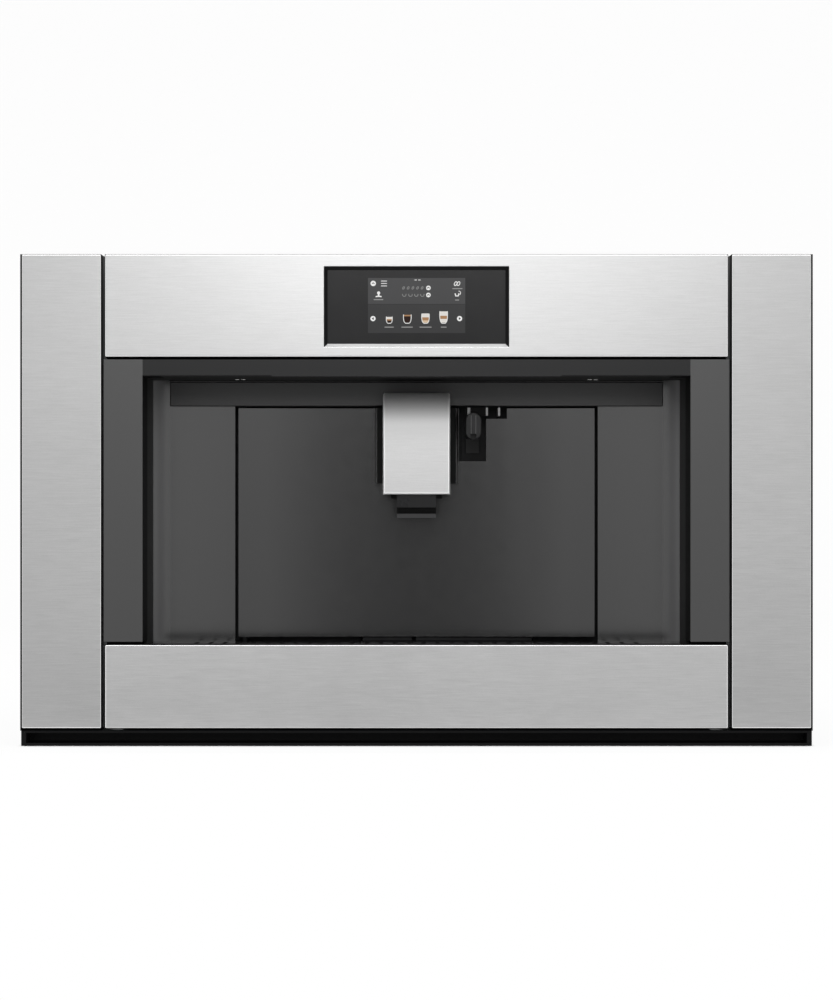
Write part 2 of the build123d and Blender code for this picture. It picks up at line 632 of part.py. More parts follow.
for side, hand in HANDS:
    with BuildPart() as cavity_wall:
        flap = (CEILING_Z + WALL_STEP, CEILING_Z + WALL_STEP + FRAME_SHEET)
        block(sides(side, WALL_X, WALL_OUT_X), (RETURN_BACK_Y, WING_Y), (WALL_FOOT, flap[1]))
        block(sides(side, FLAP_X, WALL_OUT_X), (RETURN_BACK_Y, WING_Y), flap)
    save(cavity_wall, f"{hand}_cavity_wall")

LENS_PLACES = [
    (side * LAMP_SPACING / 2 + step * LENS_PITCH / 2, LAMP_Y) for side in (-1, 1) for step in (-1, 1)
]

with BuildPart() as cavity_ceiling:
    ceiling = (CEILING_Z, CEILING_Z + FRAME_SHEET)
    block((-HALF_HEADER, HALF_HEADER), (FRAME_Y + FRAME_SHEET, WING_Y), ceiling)
    for place in LENS_PLACES:
        rod_z(*place, LENS_RADIUS + FIT_GAP, ceiling, Mode.SUBTRACT)
save(cavity_ceiling, "cavity_ceiling")

with BuildPart() as cavity_lamps:
    for side in (-1, 1):
        with Locations((side * LAMP_SPACING / 2, LAMP_Y, CEILING_Z + FRAME_SHEET + LAMP_HEIGHT / 2)):
            Box(LAMP_WIDTH, LAMP_DEPTH, LAMP_HEIGHT)
    for place in LENS_PLACES:
        rod_z(*place, LENS_RADIUS, (CEILING_Z - LENS_PROUD, CEILING_Z + FRAME_SHEET + LENS_PROUD))
save(cavity_lamps, "cavity_lamps")

with BuildPart() as cavity_back_panel:
    block(
        (-WALL_OUT_X, WALL_OUT_X),
        (WING_Y, WING_BACK_Y),
        (WALL_FOOT, CEILING_Z + BACK_PANEL_RISE),
    )
    block(
        (-HALF_OPENING - JAMB, HALF_OPENING + JAMB),
        (WING_BACK_Y, BULKHEAD_Y),
        (WALL_FOOT, HEADER_FOOT + JAMB),
    )
    block((-HALF_OPENING, HALF_OPENING), (WING_Y, BULKHEAD_Y), (WALL_FOOT, HEADER_FOOT), Mode.SUBTRACT)
    pin_hole = (HEADER_FOOT, HEADER_FOOT + JAMB + BRACKET_SHEET)
    rod_z(PIN_X, PIN_Y, PIN_RADIUS + FIT_GAP, pin_hole, Mode.SUBTRACT)
save(cavity_back_panel, "cavity_back_panel")

with BuildPart() as header_cover:
    header_y = WING_Y - HEADER_PROUD
    block((-HALF_HEADER, HALF_HEADER), (header_y, WING_Y), (HEADER_FOOT, HEADER_TOP))
    chamfer(header_cover.faces().sort_by(Axis.Y)[0].edges(), HEADER_BEVEL)
    block(
        (-HALF_HEADER + HEADER_SHEET, HALF_HEADER - HEADER_SHEET),
        (header_y + HEADER_SHEET, WING_Y),
        (HEADER_FOOT + HEADER_SHEET, HEADER_TOP - HEADER_SHEET),
        Mode.SUBTRACT,
    )
save(header_cover, "header_cover")

with BuildPart() as cup_tray:
    tray_x = WALL_X - CUP_TRAY_MARGIN
    block((-tray_x, tray_x), (TRAY_FRONT_Y, TRAY_BACK_Y), (TRAY_UNDER, FLOOR_Z))
    with BuildSketch(Plane.XY.offset(TRAY_UNDER)):
        with Locations((0, (TRAY_FRONT_Y + TRAY_BACK_Y) / 2)):
            with GridLocations(TRAY_SLOT_PITCH, TRAY_ROW_PITCH, TRAY_SLOTS, 2):
                SlotOverall(TRAY_SLOT, TRAY_SLOT_WIDTH, rotation=90)
    extrude(amount=CUP_TRAY_SHEET, mode=Mode.SUBTRACT)
save(cup_tray, "cup_tray")

with BuildPart() as drip_tray:
    basin_x = WALL_X - BASIN_MARGIN
    basin_y = (TRAY_FRONT_Y + CUP_TRAY_MARGIN, TRAY_BACK_Y - CUP_TRAY_MARGIN)
    block((-basin_x, basin_x), basin_y, (BASIN_FOOT, TRAY_UNDER))
    block((BASIN_REAR_LEFT, BASIN_REAR_RIGHT), (basin_y[1], BASIN_BACK_Y), (BASIN_FOOT, TRAY_UNDER))
    block(
        (-basin_x + BASIN_WALL, basin_x - BASIN_WALL),
        (basin_y[0] + BASIN_WALL, basin_y[1] - BASIN_WALL),
        (BASIN_FOOT + BASIN_WALL, TRAY_UNDER),
        Mode.SUBTRACT,
    )
    block(
        (BASIN_REAR_LEFT + BASIN_WALL, BASIN_REAR_RIGHT - BASIN_WALL),
        (basin_y[1] - BASIN_WALL, BASIN_BACK_Y - BASIN_WALL),
        (BASIN_FOOT + BASIN_WALL, TRAY_UNDER),
        Mode.SUBTRACT,
    )
save(drip_tray, "drip_tray")

# ---- bulkhead behind the cavity -----------------------------------------------------------
BED_SHEET = 2.5
TANK_LEFT, TANK_RIGHT = -166.0, -84.0
TANK_RISE = 10.2             # above the cup tray
TANK_DROP = 29.6             # tank's rim below the door's top
TANK_DEPTH = 168.0
TANK_WALL = 2.2
TANK_ROUND = 8.0
GROUNDS_LEFT, GROUNDS_RIGHT = -54.0, 115.4
GROUNDS_RISE = 0.4
GROUNDS_HEIGHT = 50.0
GROUNDS_DEPTH = 110.0
BREW_HALF = 46.0
BREW_RISE = 6.8              # brewing unit's bay above the grounds container
BREW_DROP = 5.6              # and below the door's top
BAY_CLEARANCE = 2.0
PIPE_RADIUS = 3.5

TANK_FOOT = FLOOR_Z + TANK_RISE
TANK_HEIGHT = DOOR_TOP - TANK_DROP - TANK_FOOT
GROUNDS_FOOT = FLOOR_Z + GROUNDS_RISE
BREW_FOOT = GROUNDS_FOOT + GROUNDS_HEIGHT + BREW_RISE
BREW_TOP = DOOR_TOP - BREW_DROP
NOZZLE_Z = DOOR_TOP - NOZZLE_DROP
WATER_SPOUT_TOP = NOZZLE_Z + WATER_SPOUT_RISE
WATER_SPOUT_FOOT = NOZZLE_Z - WATER_SPOUT_DROP

with BuildPart() as bulkhead:
    block(
        (-CASE_IN + CHASSIS_SHEET, CASE_IN - CHASSIS_SHEET),
        (BULKHEAD_Y, BULKHEAD_BACK_Y),
        (CHASSIS_TOP, CASE_TOP_IN),
    )
    block(
        (-WALL_X + BASIN_MARGIN, WALL_X - BASIN_MARGIN),
        (TRAY_FRONT_Y, BULKHEAD_Y),
        (BASIN_FOOT - BED_SHEET, BASIN_FOOT),
    )
    bays = (
        ((TANK_LEFT, TANK_RIGHT), (TANK_FOOT, TANK_FOOT + TANK_HEIGHT), TANK_DEPTH),
        ((GROUNDS_LEFT, GROUNDS_RIGHT), (GROUNDS_FOOT, GROUNDS_FOOT + GROUNDS_HEIGHT), GROUNDS_DEPTH),
    )
    for wide, tall, deep in bays:
        bay_x = (wide[0] - BAY_CLEARANCE, wide[1] + BAY_CLEARANCE)
        bay_y = (BULKHEAD_BACK_Y, BULKHEAD_BACK_Y + deep)
        block(bay_x, bay_y, (tall[0] - BED_SHEET, tall[0]))
        block(bay_x, (BULKHEAD_Y, BULKHEAD_BACK_Y), (tall[0], tall[1] + BAY_CLEARANCE), Mode.SUBTRACT)
    block(
        (-BREW_HALF, BREW_HALF),
        (BULKHEAD_Y, BULKHEAD_BACK_Y),
        (BREW_FOOT, BREW_TOP),
        Mode.SUBTRACT,
    )
    rod_y(NOZZLE_X, NOZZLE_Z, PIPE_RADIUS + FIT_GAP, (BULKHEAD_Y, BULKHEAD_BACK_Y), Mode.SUBTRACT)
save(bulkhead, "bulkhead")

BRACKET_DEPTH = 14.5
BRACKET_RIGHT = -162.0
COLLAR_RADIUS = 3.9
END_FLOAT = 0.3

with BuildPart() as door_hinge_brackets:
    jamb_top = HEADER_FOOT + JAMB
    block(
        (-HALF_OPENING, BRACKET_RIGHT),
        (WING_BACK_Y, WING_BACK_Y + BRACKET_DEPTH),
        (jamb_top, jamb_top + BRACKET_SHEET),
    )
    rod_z(PIN_X, PIN_Y, PIN_RADIUS, (DOOR_TOP - PIN_REACH + END_FLOAT, jamb_top + BRACKET_SHEET))
    block(
        (-HALF_OPENING, BRACKET_RIGHT),
        (WING_Y, WING_BACK_Y + BRACKET_DEPTH),
        (FLOOR_Z - BRACKET_SHEET, FLOOR_Z),
    )
    rod_z(PIN_X, PIN_Y, COLLAR_RADIUS, (FLOOR_Z, DOOR_FOOT - END_FLOAT))
    rod_z(PIN_X, PIN_Y, PIN_RADIUS, (FLOOR_Z, DOOR_FOOT + PIN_REACH - END_FLOAT))
save(door_hinge_brackets, "door_hinge_brackets")

# ---- service door, with the guide of the coffee spout -------------------------------------


def door_outline(half_width, front_y, hollow):
    """Plan outline between an inward-curved face and the liner plane."""
    ThreePointArc((-half_width, front_y), (0, front_y + hollow), (half_width, front_y))
    Polyline(
        (half_width, front_y),
        (half_width, RIM_BACK_Y),
        (-half_width, RIM_BACK_Y),
        (-half_width, front_y),
    )


WINDOW_HALF = 38.0
WINDOW_MARGIN = 5.0
GUIDE_GAP = 0.4              # behind the guide's flange, in front of the curved skin
LINER_INSET = 1.5
LINER_NOTCH_MARGIN = 4.4
RIB_RISES = (40.6, 80.6, 120.6)
RIB_HALF = 150.0
RIB = 5.0
CATCH_RISE = 115.6
CATCH_SIZE = 12.0

with BuildPart() as service_door:
    with BuildSketch(Plane.XY.offset(DOOR_FOOT)):
        with BuildLine():
            door_outline(HALF_DOOR, WING_Y, DOOR_HOLLOW)
        make_face()
    extrude(amount=DOOR_HEIGHT)
    with BuildSketch(Plane.XY.offset(DOOR_FOOT + DOOR_RIM)):
        with BuildLine():
            door_outline(HALF_DOOR - DOOR_RIM, WING_Y + DOOR_SKIN, DOOR_HOLLOW)
        make_face()
    extrude(amount=DOOR_HEIGHT - 2 * DOOR_RIM, mode=Mode.SUBTRACT)
    for barrel in ((DOOR_FOOT, DOOR_FOOT + BARREL_LENGTH), (DOOR_TOP - BARREL_LENGTH, DOOR_TOP)):
        rod_z(PIN_X, PIN_Y, BARREL_RADIUS, barrel)
    for bore in ((DOOR_FOOT, DOOR_FOOT + PIN_REACH), (DOOR_TOP - PIN_REACH, DOOR_TOP)):
        rod_z(PIN_X, PIN_Y, PIN_RADIUS + PIN_CLEARANCE, bore, Mode.SUBTRACT)
    through = (WING_Y, RIM_BACK_Y)
    block((NOTCH_LEFT, NOTCH_RIGHT), through, (DOOR_TOP - NOTCH_DEPTH, DOOR_TOP), Mode.SUBTRACT)
    block((NOTCH_LEFT, NOTCH_FAR_RIGHT), through, (DOOR_TOP - NOTCH_SHALLOW, DOOR_TOP), Mode.SUBTRACT)
    block(
        (-WINDOW_HALF, WINDOW_HALF),
        through,
        (GUIDE_FOOT + WINDOW_MARGIN, GUIDE_TOP - WINDOW_MARGIN),
        Mode.SUBTRACT,
    )
save(service_door, "service_door")

with BuildPart() as door_liner:
    liner_x = HALF_DOOR - LINER_INSET
    block(
        (-liner_x, liner_x),
        (RIM_BACK_Y, LINER_BACK_Y),
        (DOOR_FOOT + LINER_INSET, DOOR_TOP - LINER_INSET),
    )
    for rise in RIB_RISES:
        rib_z = (DOOR_FOOT + rise, DOOR_FOOT + rise + LINER_SHEET)
        block((-RIB_HALF, RIB_HALF), (RIM_BACK_Y - RIB, RIM_BACK_Y), rib_z)
    block(
        (NOTCH_LEFT - LINER_NOTCH_MARGIN, NOTCH_FAR_RIGHT + LINER_NOTCH_MARGIN),
        (RIM_BACK_Y, LINER_BACK_Y),
        (DOOR_TOP - NOTCH_DEPTH - LINER_NOTCH_MARGIN, DOOR_TOP),
        Mode.SUBTRACT,
    )
    block(
        (liner_x - CATCH_SIZE, liner_x),
        (LINER_BACK_Y, LINER_BACK_Y + LINER_SHEET),
        (DOOR_FOOT + CATCH_RISE, DOOR_FOOT + CATCH_RISE + CATCH_SIZE),
    )
save(door_liner, "door_liner")

HALF_GUIDE = GUIDE_WIDTH / 2
HEAD_Y = GUIDE_Y + SLOT_NECK_DEPTH
FLANGE_BACK_Y = WING_Y + DOOR_HOLLOW - GUIDE_GAP - DOOR_HOLLOW * (HALF_GUIDE / HALF_DOOR) ** 2

with BuildPart() as spout_guide:
    block((-HALF_GUIDE, HALF_GUIDE), (GUIDE_Y, FLANGE_BACK_Y), (GUIDE_FOOT, GUIDE_TOP))
    face_edges = spout_guide.faces().sort_by(Axis.Y)[0].edges().filter_by(Axis.Z)
    fillet(face_edges, GUIDE_ROUND)
    block(
        (-WINDOW_HALF + GUIDE_GAP, WINDOW_HALF - GUIDE_GAP),
        (FLANGE_BACK_Y, RIM_BACK_Y),
        (GUIDE_FOOT + WINDOW_MARGIN + GUIDE_GAP, GUIDE_TOP - WINDOW_MARGIN - GUIDE_GAP),
    )
    block((-SLOT_NECK / 2, SLOT_NECK / 2), (GUIDE_Y, HEAD_Y), (GUIDE_FOOT, GUIDE_TOP), Mode.SUBTRACT)
    block(
        (-SLOT_HEAD / 2, SLOT_HEAD / 2),
        (HEAD_Y, HEAD_Y + SLOT_HEAD_DEPTH),
        (GUIDE_FOOT, GUIDE_TOP),
        Mode.SUBTRACT,
    )
save(spout_guide, "spout_guide")

# ---- coffee spout -------------------------------------------------------------------------
BODY_HALF = 24.0
BODY_DROP = 7.6              # below the door's top
TONGUE_LENGTH = 50.0
TONGUE_DROP = 5.6
BODY_GAP = 0.4
LUG_RISES = (8.7, 48.7)      # above the cover's lower edge
LUG = 8.0
OUTLET_FRONT = 3.5           # outlet face behind the cover face
OUTLET_REACH = 31.0
GROOVE_TOP = 10.1            # groove across the outlet, below its top
GROOVE_FOOT = 4.0            # and above its foot
GROOVE_DEPTH = 3.0
OUTLET_BORE = 2.5
OUTLET_BORE_PITCH = 20.0
CLIP_WIDTH = 5.8
CLIP_HEIGHT = 3.9
COVER_BEVEL = 1.0


def cover_profile(inset, foot, back):
    """Side outline of the cover: straight face, then a quarter round back to the top."""
    face = COVER_Y + inset
    top = COVER_TOP - inset
    radius = COVER_RADIUS - inset
    Line((face, foot), (face, top - radius))
    RadiusArc((face, top - radius), (face + radius, top), radius)
    Polyline((face + radius, top), (back, top), (back, foot), (face, foot))


with BuildPart() as spout_cover:
    with BuildSketch(Plane.YZ.offset(-COVER_WIDTH / 2)):
        with BuildLine():
            cover_profile(0, COVER_FOOT, COVER_BACK_Y)
        make_face()
    extrude(amount=COVER_WIDTH)
    cover_face = spout_cover.faces().sort_by(Axis.Y)[0]
    chamfer(cover_face.edges().sort_by(Axis.Z)[:-1], COVER_BEVEL)
    with BuildSketch(Plane.YZ.offset(-COVER_WIDTH / 2 + SHEET)):
        with BuildLine():
            cover_profile(SHEET, COVER_FOOT, COVER_BACK_Y)
        make_face()
    extrude(amount=COVER_WIDTH - 2 * SHEET, mode=Mode.SUBTRACT)
save(spout_cover, "spout_cover")

with BuildPart() as spout_body:
    body_back = GUIDE_Y - BODY_GAP
    body_front = COVER_Y + SHEET
    cover_in = COVER_WIDTH / 2 - SHEET
    body_top = DOOR_TOP - BODY_DROP
    block((-BODY_HALF, BODY_HALF), (body_front, body_back), (COVER_FOOT + LUG, body_top - COVER_RADIUS))
    block(
        (-BODY_HALF, BODY_HALF),
        (body_front + COVER_RADIUS, body_back),
        (body_top - COVER_RADIUS, body_top),
    )
    for rise in LUG_RISES:
        lug_z = (COVER_FOOT + rise, COVER_FOOT + rise + LUG)
        block((-cover_in, cover_in), (body_front + LUG, COVER_BACK_Y), lug_z)
    neck = SLOT_NECK / 2 - SLIDE_CLEARANCE
    head = SLOT_HEAD / 2 - SLIDE_CLEARANCE
    tongue_top = DOOR_TOP - TONGUE_DROP
    tongue = (tongue_top - TONGUE_LENGTH, tongue_top)
    block((-neck, neck), (body_back, HEAD_Y + SLIDE_CLEARANCE), tongue)
    block(
        (-head, head),
        (HEAD_Y + SLIDE_CLEARANCE, HEAD_Y + SLOT_HEAD_DEPTH - SLIDE_CLEARANCE),
        tongue,
    )
    outlet_x = OUTLET_WIDTH / 2
    outlet_y = COVER_Y + OUTLET_FRONT
    block(
        (-outlet_x, outlet_x),
        (outlet_y, outlet_y + OUTLET_REACH),
        (OUTLET_FOOT, COVER_FOOT + LUG),
    )
    block(
        (-outlet_x, outlet_x),
        (outlet_y, outlet_y + GROOVE_DEPTH),
        (OUTLET_FOOT + GROOVE_FOOT, OUTLET_FOOT + GROOVE_TOP),
        Mode.SUBTRACT,
    )
    for side in (-1, 1):
        block(
            sides(side, outlet_x, outlet_x + CLIP_WIDTH),
            (outlet_y + GROOVE_DEPTH, outlet_y + OUTLET_REACH),
            (COVER_FOOT - CLIP_HEIGHT, COVER_FOOT + LUG),
        )
        rod_z(
            side * OUTLET_BORE_PITCH / 2,
            outlet_y + OUTLET_REACH / 2,
            OUTLET_BORE,
            (OUTLET_FOOT, OUTLET_FOOT + GROOVE_TOP),
            Mode.SUBTRACT,
        )
save(spout_body, "spout_body")

# ---- hot-water nozzle and its pull-off spout ----------------------------------------------
STUB_TIP_GAP = 3.5           # from the spout's face to the stub's tip
COLLAR_DEPTH = 12.0
ARM_RIGHT = 71.2
ARM_RISE = 14.0              # arm's top above the nozzle axis
ARM_HEIGHT = 8.1
ARM_FRONT_GAP = 0.5
MOUNT_PLATE = 3.0
MOUNT_HALF = 6.5
MOUNT_DROP = 31.0
PIPE_BACK = 24.0
SPINE_HALF = 2.3
SPINE_PROUD = 0.6
TIP_HALF = 2.9
TIP_HEIGHT = 5.7
TIP_DEPTH = 3.0
WATER_SPOUT_DEPTH = 20.0
SPOUT_EDGE = 1.2

WATER_Y = FRONT_Y + WATER_SPOUT_SETBACK
WATER_BACK_Y = WATER_Y + WATER_SPOUT_DEPTH
WATER_HALF = WATER_SPOUT_WIDTH / 2
STUB_TIP_Y = WATER_Y + STUB_TIP_GAP
ARM_TOP = NOZZLE_Z + ARM_RISE

with BuildPart() as hot_water_nozzle:
    rod_y(NOZZLE_X, NOZZLE_Z, NOZZLE_RADIUS, (STUB_TIP_Y, BULKHEAD_Y))
    rod_y(NOZZLE_X, NOZZLE_Z, PIPE_RADIUS, (BULKHEAD_Y, BULKHEAD_BACK_Y + PIPE_BACK))
    collar_y = WATER_BACK_Y + ARM_FRONT_GAP
    block(
        (NOZZLE_X - WATER_HALF, NOZZLE_X + WATER_HALF),
        (collar_y, collar_y + COLLAR_DEPTH),
        (NOZZLE_Z - NOZZLE_RADIUS, ARM_TOP),
    )
    block((NOZZLE_X, ARM_RIGHT), (collar_y, collar_y + COLLAR_DEPTH), (ARM_TOP - ARM_HEIGHT, ARM_TOP))
    block(
        (NOZZLE_X - MOUNT_HALF, NOZZLE_X + MOUNT_HALF),
        (BULKHEAD_Y - MOUNT_PLATE, BULKHEAD_Y),
        (NOZZLE_Z - MOUNT_DROP, NOZZLE_Z + MOUNT_HALF),
    )
save(hot_water_nozzle, "hot_water_nozzle")

with BuildPart() as hot_water_spout:
    spout_height = WATER_SPOUT_TOP - WATER_SPOUT_FOOT
    with BuildSketch(Plane.XZ.offset(-WATER_BACK_Y)):
        with Locations((NOZZLE_X, WATER_SPOUT_FOOT + spout_height / 2)):
            SlotOverall(spout_height, WATER_SPOUT_WIDTH, rotation=90)
    extrude(amount=WATER_SPOUT_DEPTH)
    fillet(hot_water_spout.faces().sort_by(Axis.Y)[0].edges(), SPOUT_EDGE)
    block(
        (NOZZLE_X - SPINE_HALF, NOZZLE_X + SPINE_HALF),
        (WATER_Y - SPINE_PROUD, WATER_Y + SPINE_PROUD),
        (WATER_SPOUT_FOOT + TIP_HEIGHT, WATER_SPOUT_TOP - SPINE_HALF),
    )
    rod_y(
        NOZZLE_X,
        NOZZLE_Z,
        NOZZLE_RADIUS + END_FLOAT,
        (STUB_TIP_Y - END_FLOAT, WATER_BACK_Y),
        Mode.SUBTRACT,
    )
    block(
        (NOZZLE_X - TIP_HALF, NOZZLE_X + TIP_HALF),
        (WATER_Y, WATER_Y + TIP_DEPTH),
        (WATER_SPOUT_FOOT, WATER_SPOUT_FOOT + TIP_HEIGHT),
        Mode.SUBTRACT,
    )
save(hot_water_spout, "hot_water_spout")

# ---- water tank and grounds container -----------------------------------------------------
BOX_GAP = 0.5                # box fronts behind the bulkhead's face
FINGER_WIDTH = 40.0
FINGER_HEIGHT = 22.0
FINGER_DEPTH = 10.0
FINGER_Z = 235.0
LIP_REACH = 14.5
LIP_HEIGHT = 3.3
LIP_NOTCH = (-4.7, -0.5)

with BuildPart() as water_tank:
    tank_y = (BULKHEAD_Y + BOX_GAP, BULKHEAD_Y + BOX_GAP + TANK_DEPTH)
    block((TANK_LEFT, TANK_RIGHT), tank_y, (TANK_FOOT, TANK_FOOT + TANK_HEIGHT))
    fillet(water_tank.edges().filter_by(Axis.Z), TANK_ROUND)
    tank_x = (TANK_LEFT + TANK_RIGHT) / 2
    hollow_y = (tank_y[0] + FINGER_DEPTH + TANK_WALL, tank_y[1] - TANK_WALL)
    with BuildSketch(Plane.XY.offset(TANK_FOOT + TANK_WALL)):
        with Locations((tank_x, sum(hollow_y) / 2)):
            RectangleRounded(
                TANK_RIGHT - TANK_LEFT - 2 * TANK_WALL,
                hollow_y[1] - hollow_y[0],
                TANK_ROUND - TANK_WALL,
            )
    extrude(amount=TANK_HEIGHT, mode=Mode.SUBTRACT)
    with Locations((tank_x, tank_y[0] + FINGER_DEPTH / 2, FINGER_Z)):
        Box(FINGER_WIDTH, FINGER_DEPTH, FINGER_HEIGHT, mode=Mode.SUBTRACT)
save(water_tank, "water_tank")

with BuildPart() as grounds_container:
    grounds_y = (BULKHEAD_Y + BOX_GAP, BULKHEAD_Y + BOX_GAP + GROUNDS_DEPTH)
    block((GROUNDS_LEFT, GROUNDS_RIGHT), grounds_y, (GROUNDS_FOOT, GROUNDS_FOOT + GROUNDS_HEIGHT))
    block(
        (GROUNDS_LEFT + TANK_WALL, GROUNDS_RIGHT - TANK_WALL),
        (grounds_y[0] + TANK_WALL, grounds_y[1] - TANK_WALL),
        (GROUNDS_FOOT + TANK_WALL, GROUNDS_FOOT + GROUNDS_HEIGHT),
        Mode.SUBTRACT,
    )
    lip_y = (grounds_y[0] - LIP_REACH, grounds_y[0])
    lip_z = (GROUNDS_FOOT, GROUNDS_FOOT + LIP_HEIGHT)
    block((GROUNDS_LEFT, GROUNDS_RIGHT), lip_y, lip_z)
    block(LIP_NOTCH, lip_y, lip_z, Mode.SUBTRACT)
save(grounds_container, "grounds_container")

# ---- brewing unit -------------------------------------------------------------------------
BREW_FLANGE = 3.6
BREW_PLATE_IN = 40.0
BREW_PLATE = 3.0
BREW_DEPTH = 92.0
BREW_Y = -58.0
PISTON_RADIUS = 20.3
PISTON_LENGTH = 22.0
CHAMBER_WALL = 5.0
CHAMBER_RISE = 44.0          # lowest place of the chamber above the bay's foot
CHAMBER_GAP = 38.0           # from the chamber's rim up to the piston
CARRIAGE_HALF = 12.0
CARRIAGE_HEIGHT = 18.0

PISTON_FOOT = BREW_TOP - PISTON_LENGTH
CHAMBER_FOOT = BREW_FOOT + CHAMBER_RISE
CHAMBER_TOP = PISTON_FOOT - CHAMBER_GAP
CARRIAGE_TOP = CHAMBER_FOOT + CARRIAGE_HEIGHT

with BuildPart() as brew_frame:
    flange_x = BREW_HALF + BREW_FLANGE
    block(
        (-flange_x, flange_x),
        (BULKHEAD_BACK_Y, BULKHEAD_BACK_Y + BREW_PLATE),
        (BREW_FOOT - BREW_FLANGE, BREW_TOP + BREW_FLANGE),
    )
    block(
        (-BREW_PLATE_IN, BREW_PLATE_IN),
        (BULKHEAD_BACK_Y, BULKHEAD_BACK_Y + BREW_PLATE),
        (BREW_FOOT + BREW_PLATE, BREW_TOP - BREW_PLATE),
        Mode.SUBTRACT,
    )
    brew_depth = (BULKHEAD_BACK_Y + BREW_PLATE, BULKHEAD_BACK_Y + BREW_DEPTH)
    for side in (-1, 1):
        block(sides(side, BREW_PLATE_IN, BREW_PLATE_IN + BREW_PLATE), brew_depth, (BREW_FOOT, BREW_TOP))
    for foot in (BREW_FOOT, BREW_TOP - BREW_PLATE):
        block((-BREW_PLATE_IN, BREW_PLATE_IN), brew_depth, (foot, foot + BREW_PLATE))
    rod_z(0, BREW_Y, PISTON_RADIUS, (PISTON_FOOT, BREW_TOP))
save(brew_frame, "brew_frame")

with BuildPart() as brew_chamber:
    rod_z(0, BREW_Y, PISTON_RADIUS + END_FLOAT + CHAMBER_WALL, (CHAMBER_FOOT, CHAMBER_TOP))
    rod_z(
        0,
        BREW_Y,
        PISTON_RADIUS + END_FLOAT,
        (CARRIAGE_TOP, CHAMBER_TOP),
        Mode.SUBTRACT,
    )
    block(
        (-BREW_PLATE_IN + SLIDE_CLEARANCE, BREW_PLATE_IN - SLIDE_CLEARANCE),
        (BREW_Y - CARRIAGE_HALF, BREW_Y + CARRIAGE_HALF),
        (CHAMBER_FOOT, CARRIAGE_TOP),
    )
save(brew_chamber, "brew_chamber")

# ---- grinder, bean hopper and the deck under the lids -------------------------------------
GRINDER_X, GRINDER_Y = 10.0, 118.0
# radius of each step and its top below the hopper's throat, from the foot up
GRINDER_STEPS = ((30.0, 104.0), (42.0, 66.0), (36.0, 10.0), (22.0, 0.5))
CHUTE_HALF = 10.0
CHUTE_DROP = 12.0            # below the piston
CHUTE_FRONT = -10.0
DECK_SHEET = 2.5
DECK_MARGIN = 5.0
BEAN_LEFT, BEAN_RIGHT = -60.0, 80.0
BEAN_FRONT, BEAN_BACK = 15.0, 142.0
BEAN_WALL = 2.0
THROAT_RADIUS = 22.0
BOWL_DEPTH = 60.8
POWDER_HALF = 25.0
POWDER_FRONT, POWDER_BACK = -60.0, -18.0
POWDER_GAP = 5.0             # above the brewing unit
LID_SHEET = 2.0
LID_GAP = 0.3
LID_OVERLAP = 6.0
LID_AXIS_RISE = 2.6          # lid hinge axis above the deck
LID_AXIS_BEHIND = 6.5        # and behind the mouth
LID_NECK_GAP = 4.0
LUG_SIZE = 6.0
LUG_HALF = 2.2
LID_PIN_RADIUS = 1.4
LID_PIN_CLEARANCE = 0.06
KNOB_X, KNOB_Y = 62.0, -38.0
KNOB_RADIUS = 15.0
KNOB_HEIGHT = 3.0
KNOB_GRIP = 2.4
KNOB_GRIP_WIDTH = 5.0
KNOB_SHAFT = 4.0
KNOB_SHAFT_LENGTH = 12.0

DECK_Z = CASE_TOP_IN
THROAT_Z = DECK_Z - BOWL_DEPTH
LID_AXIS_Z = DECK_Z + LID_AXIS_RISE
# mouth limits of each lid: left, right, front, back
MOUTHS = {
    "hopper_lid": (BEAN_LEFT, BEAN_RIGHT, BEAN_FRONT, BEAN_BACK),
    "ground_coffee_lid": (-POWDER_HALF, POWDER_HALF, POWDER_FRONT, POWDER_BACK),
}

with BuildPart() as grinder_body:
    step_foot = SHELF_TOP
    for radius, drop in GRINDER_STEPS:
        rod_z(GRINDER_X, GRINDER_Y, radius, (step_foot, THROAT_Z - drop))
        step_foot = THROAT_Z - drop
    chute_top = PISTON_FOOT - CHUTE_DROP
    block(
        (GRINDER_X - CHUTE_HALF, GRINDER_X + CHUTE_HALF),
        (CHUTE_FRONT, GRINDER_Y),
        (chute_top - 2 * CHUTE_HALF, chute_top),
    )
save(grinder_body, "grinder_body")

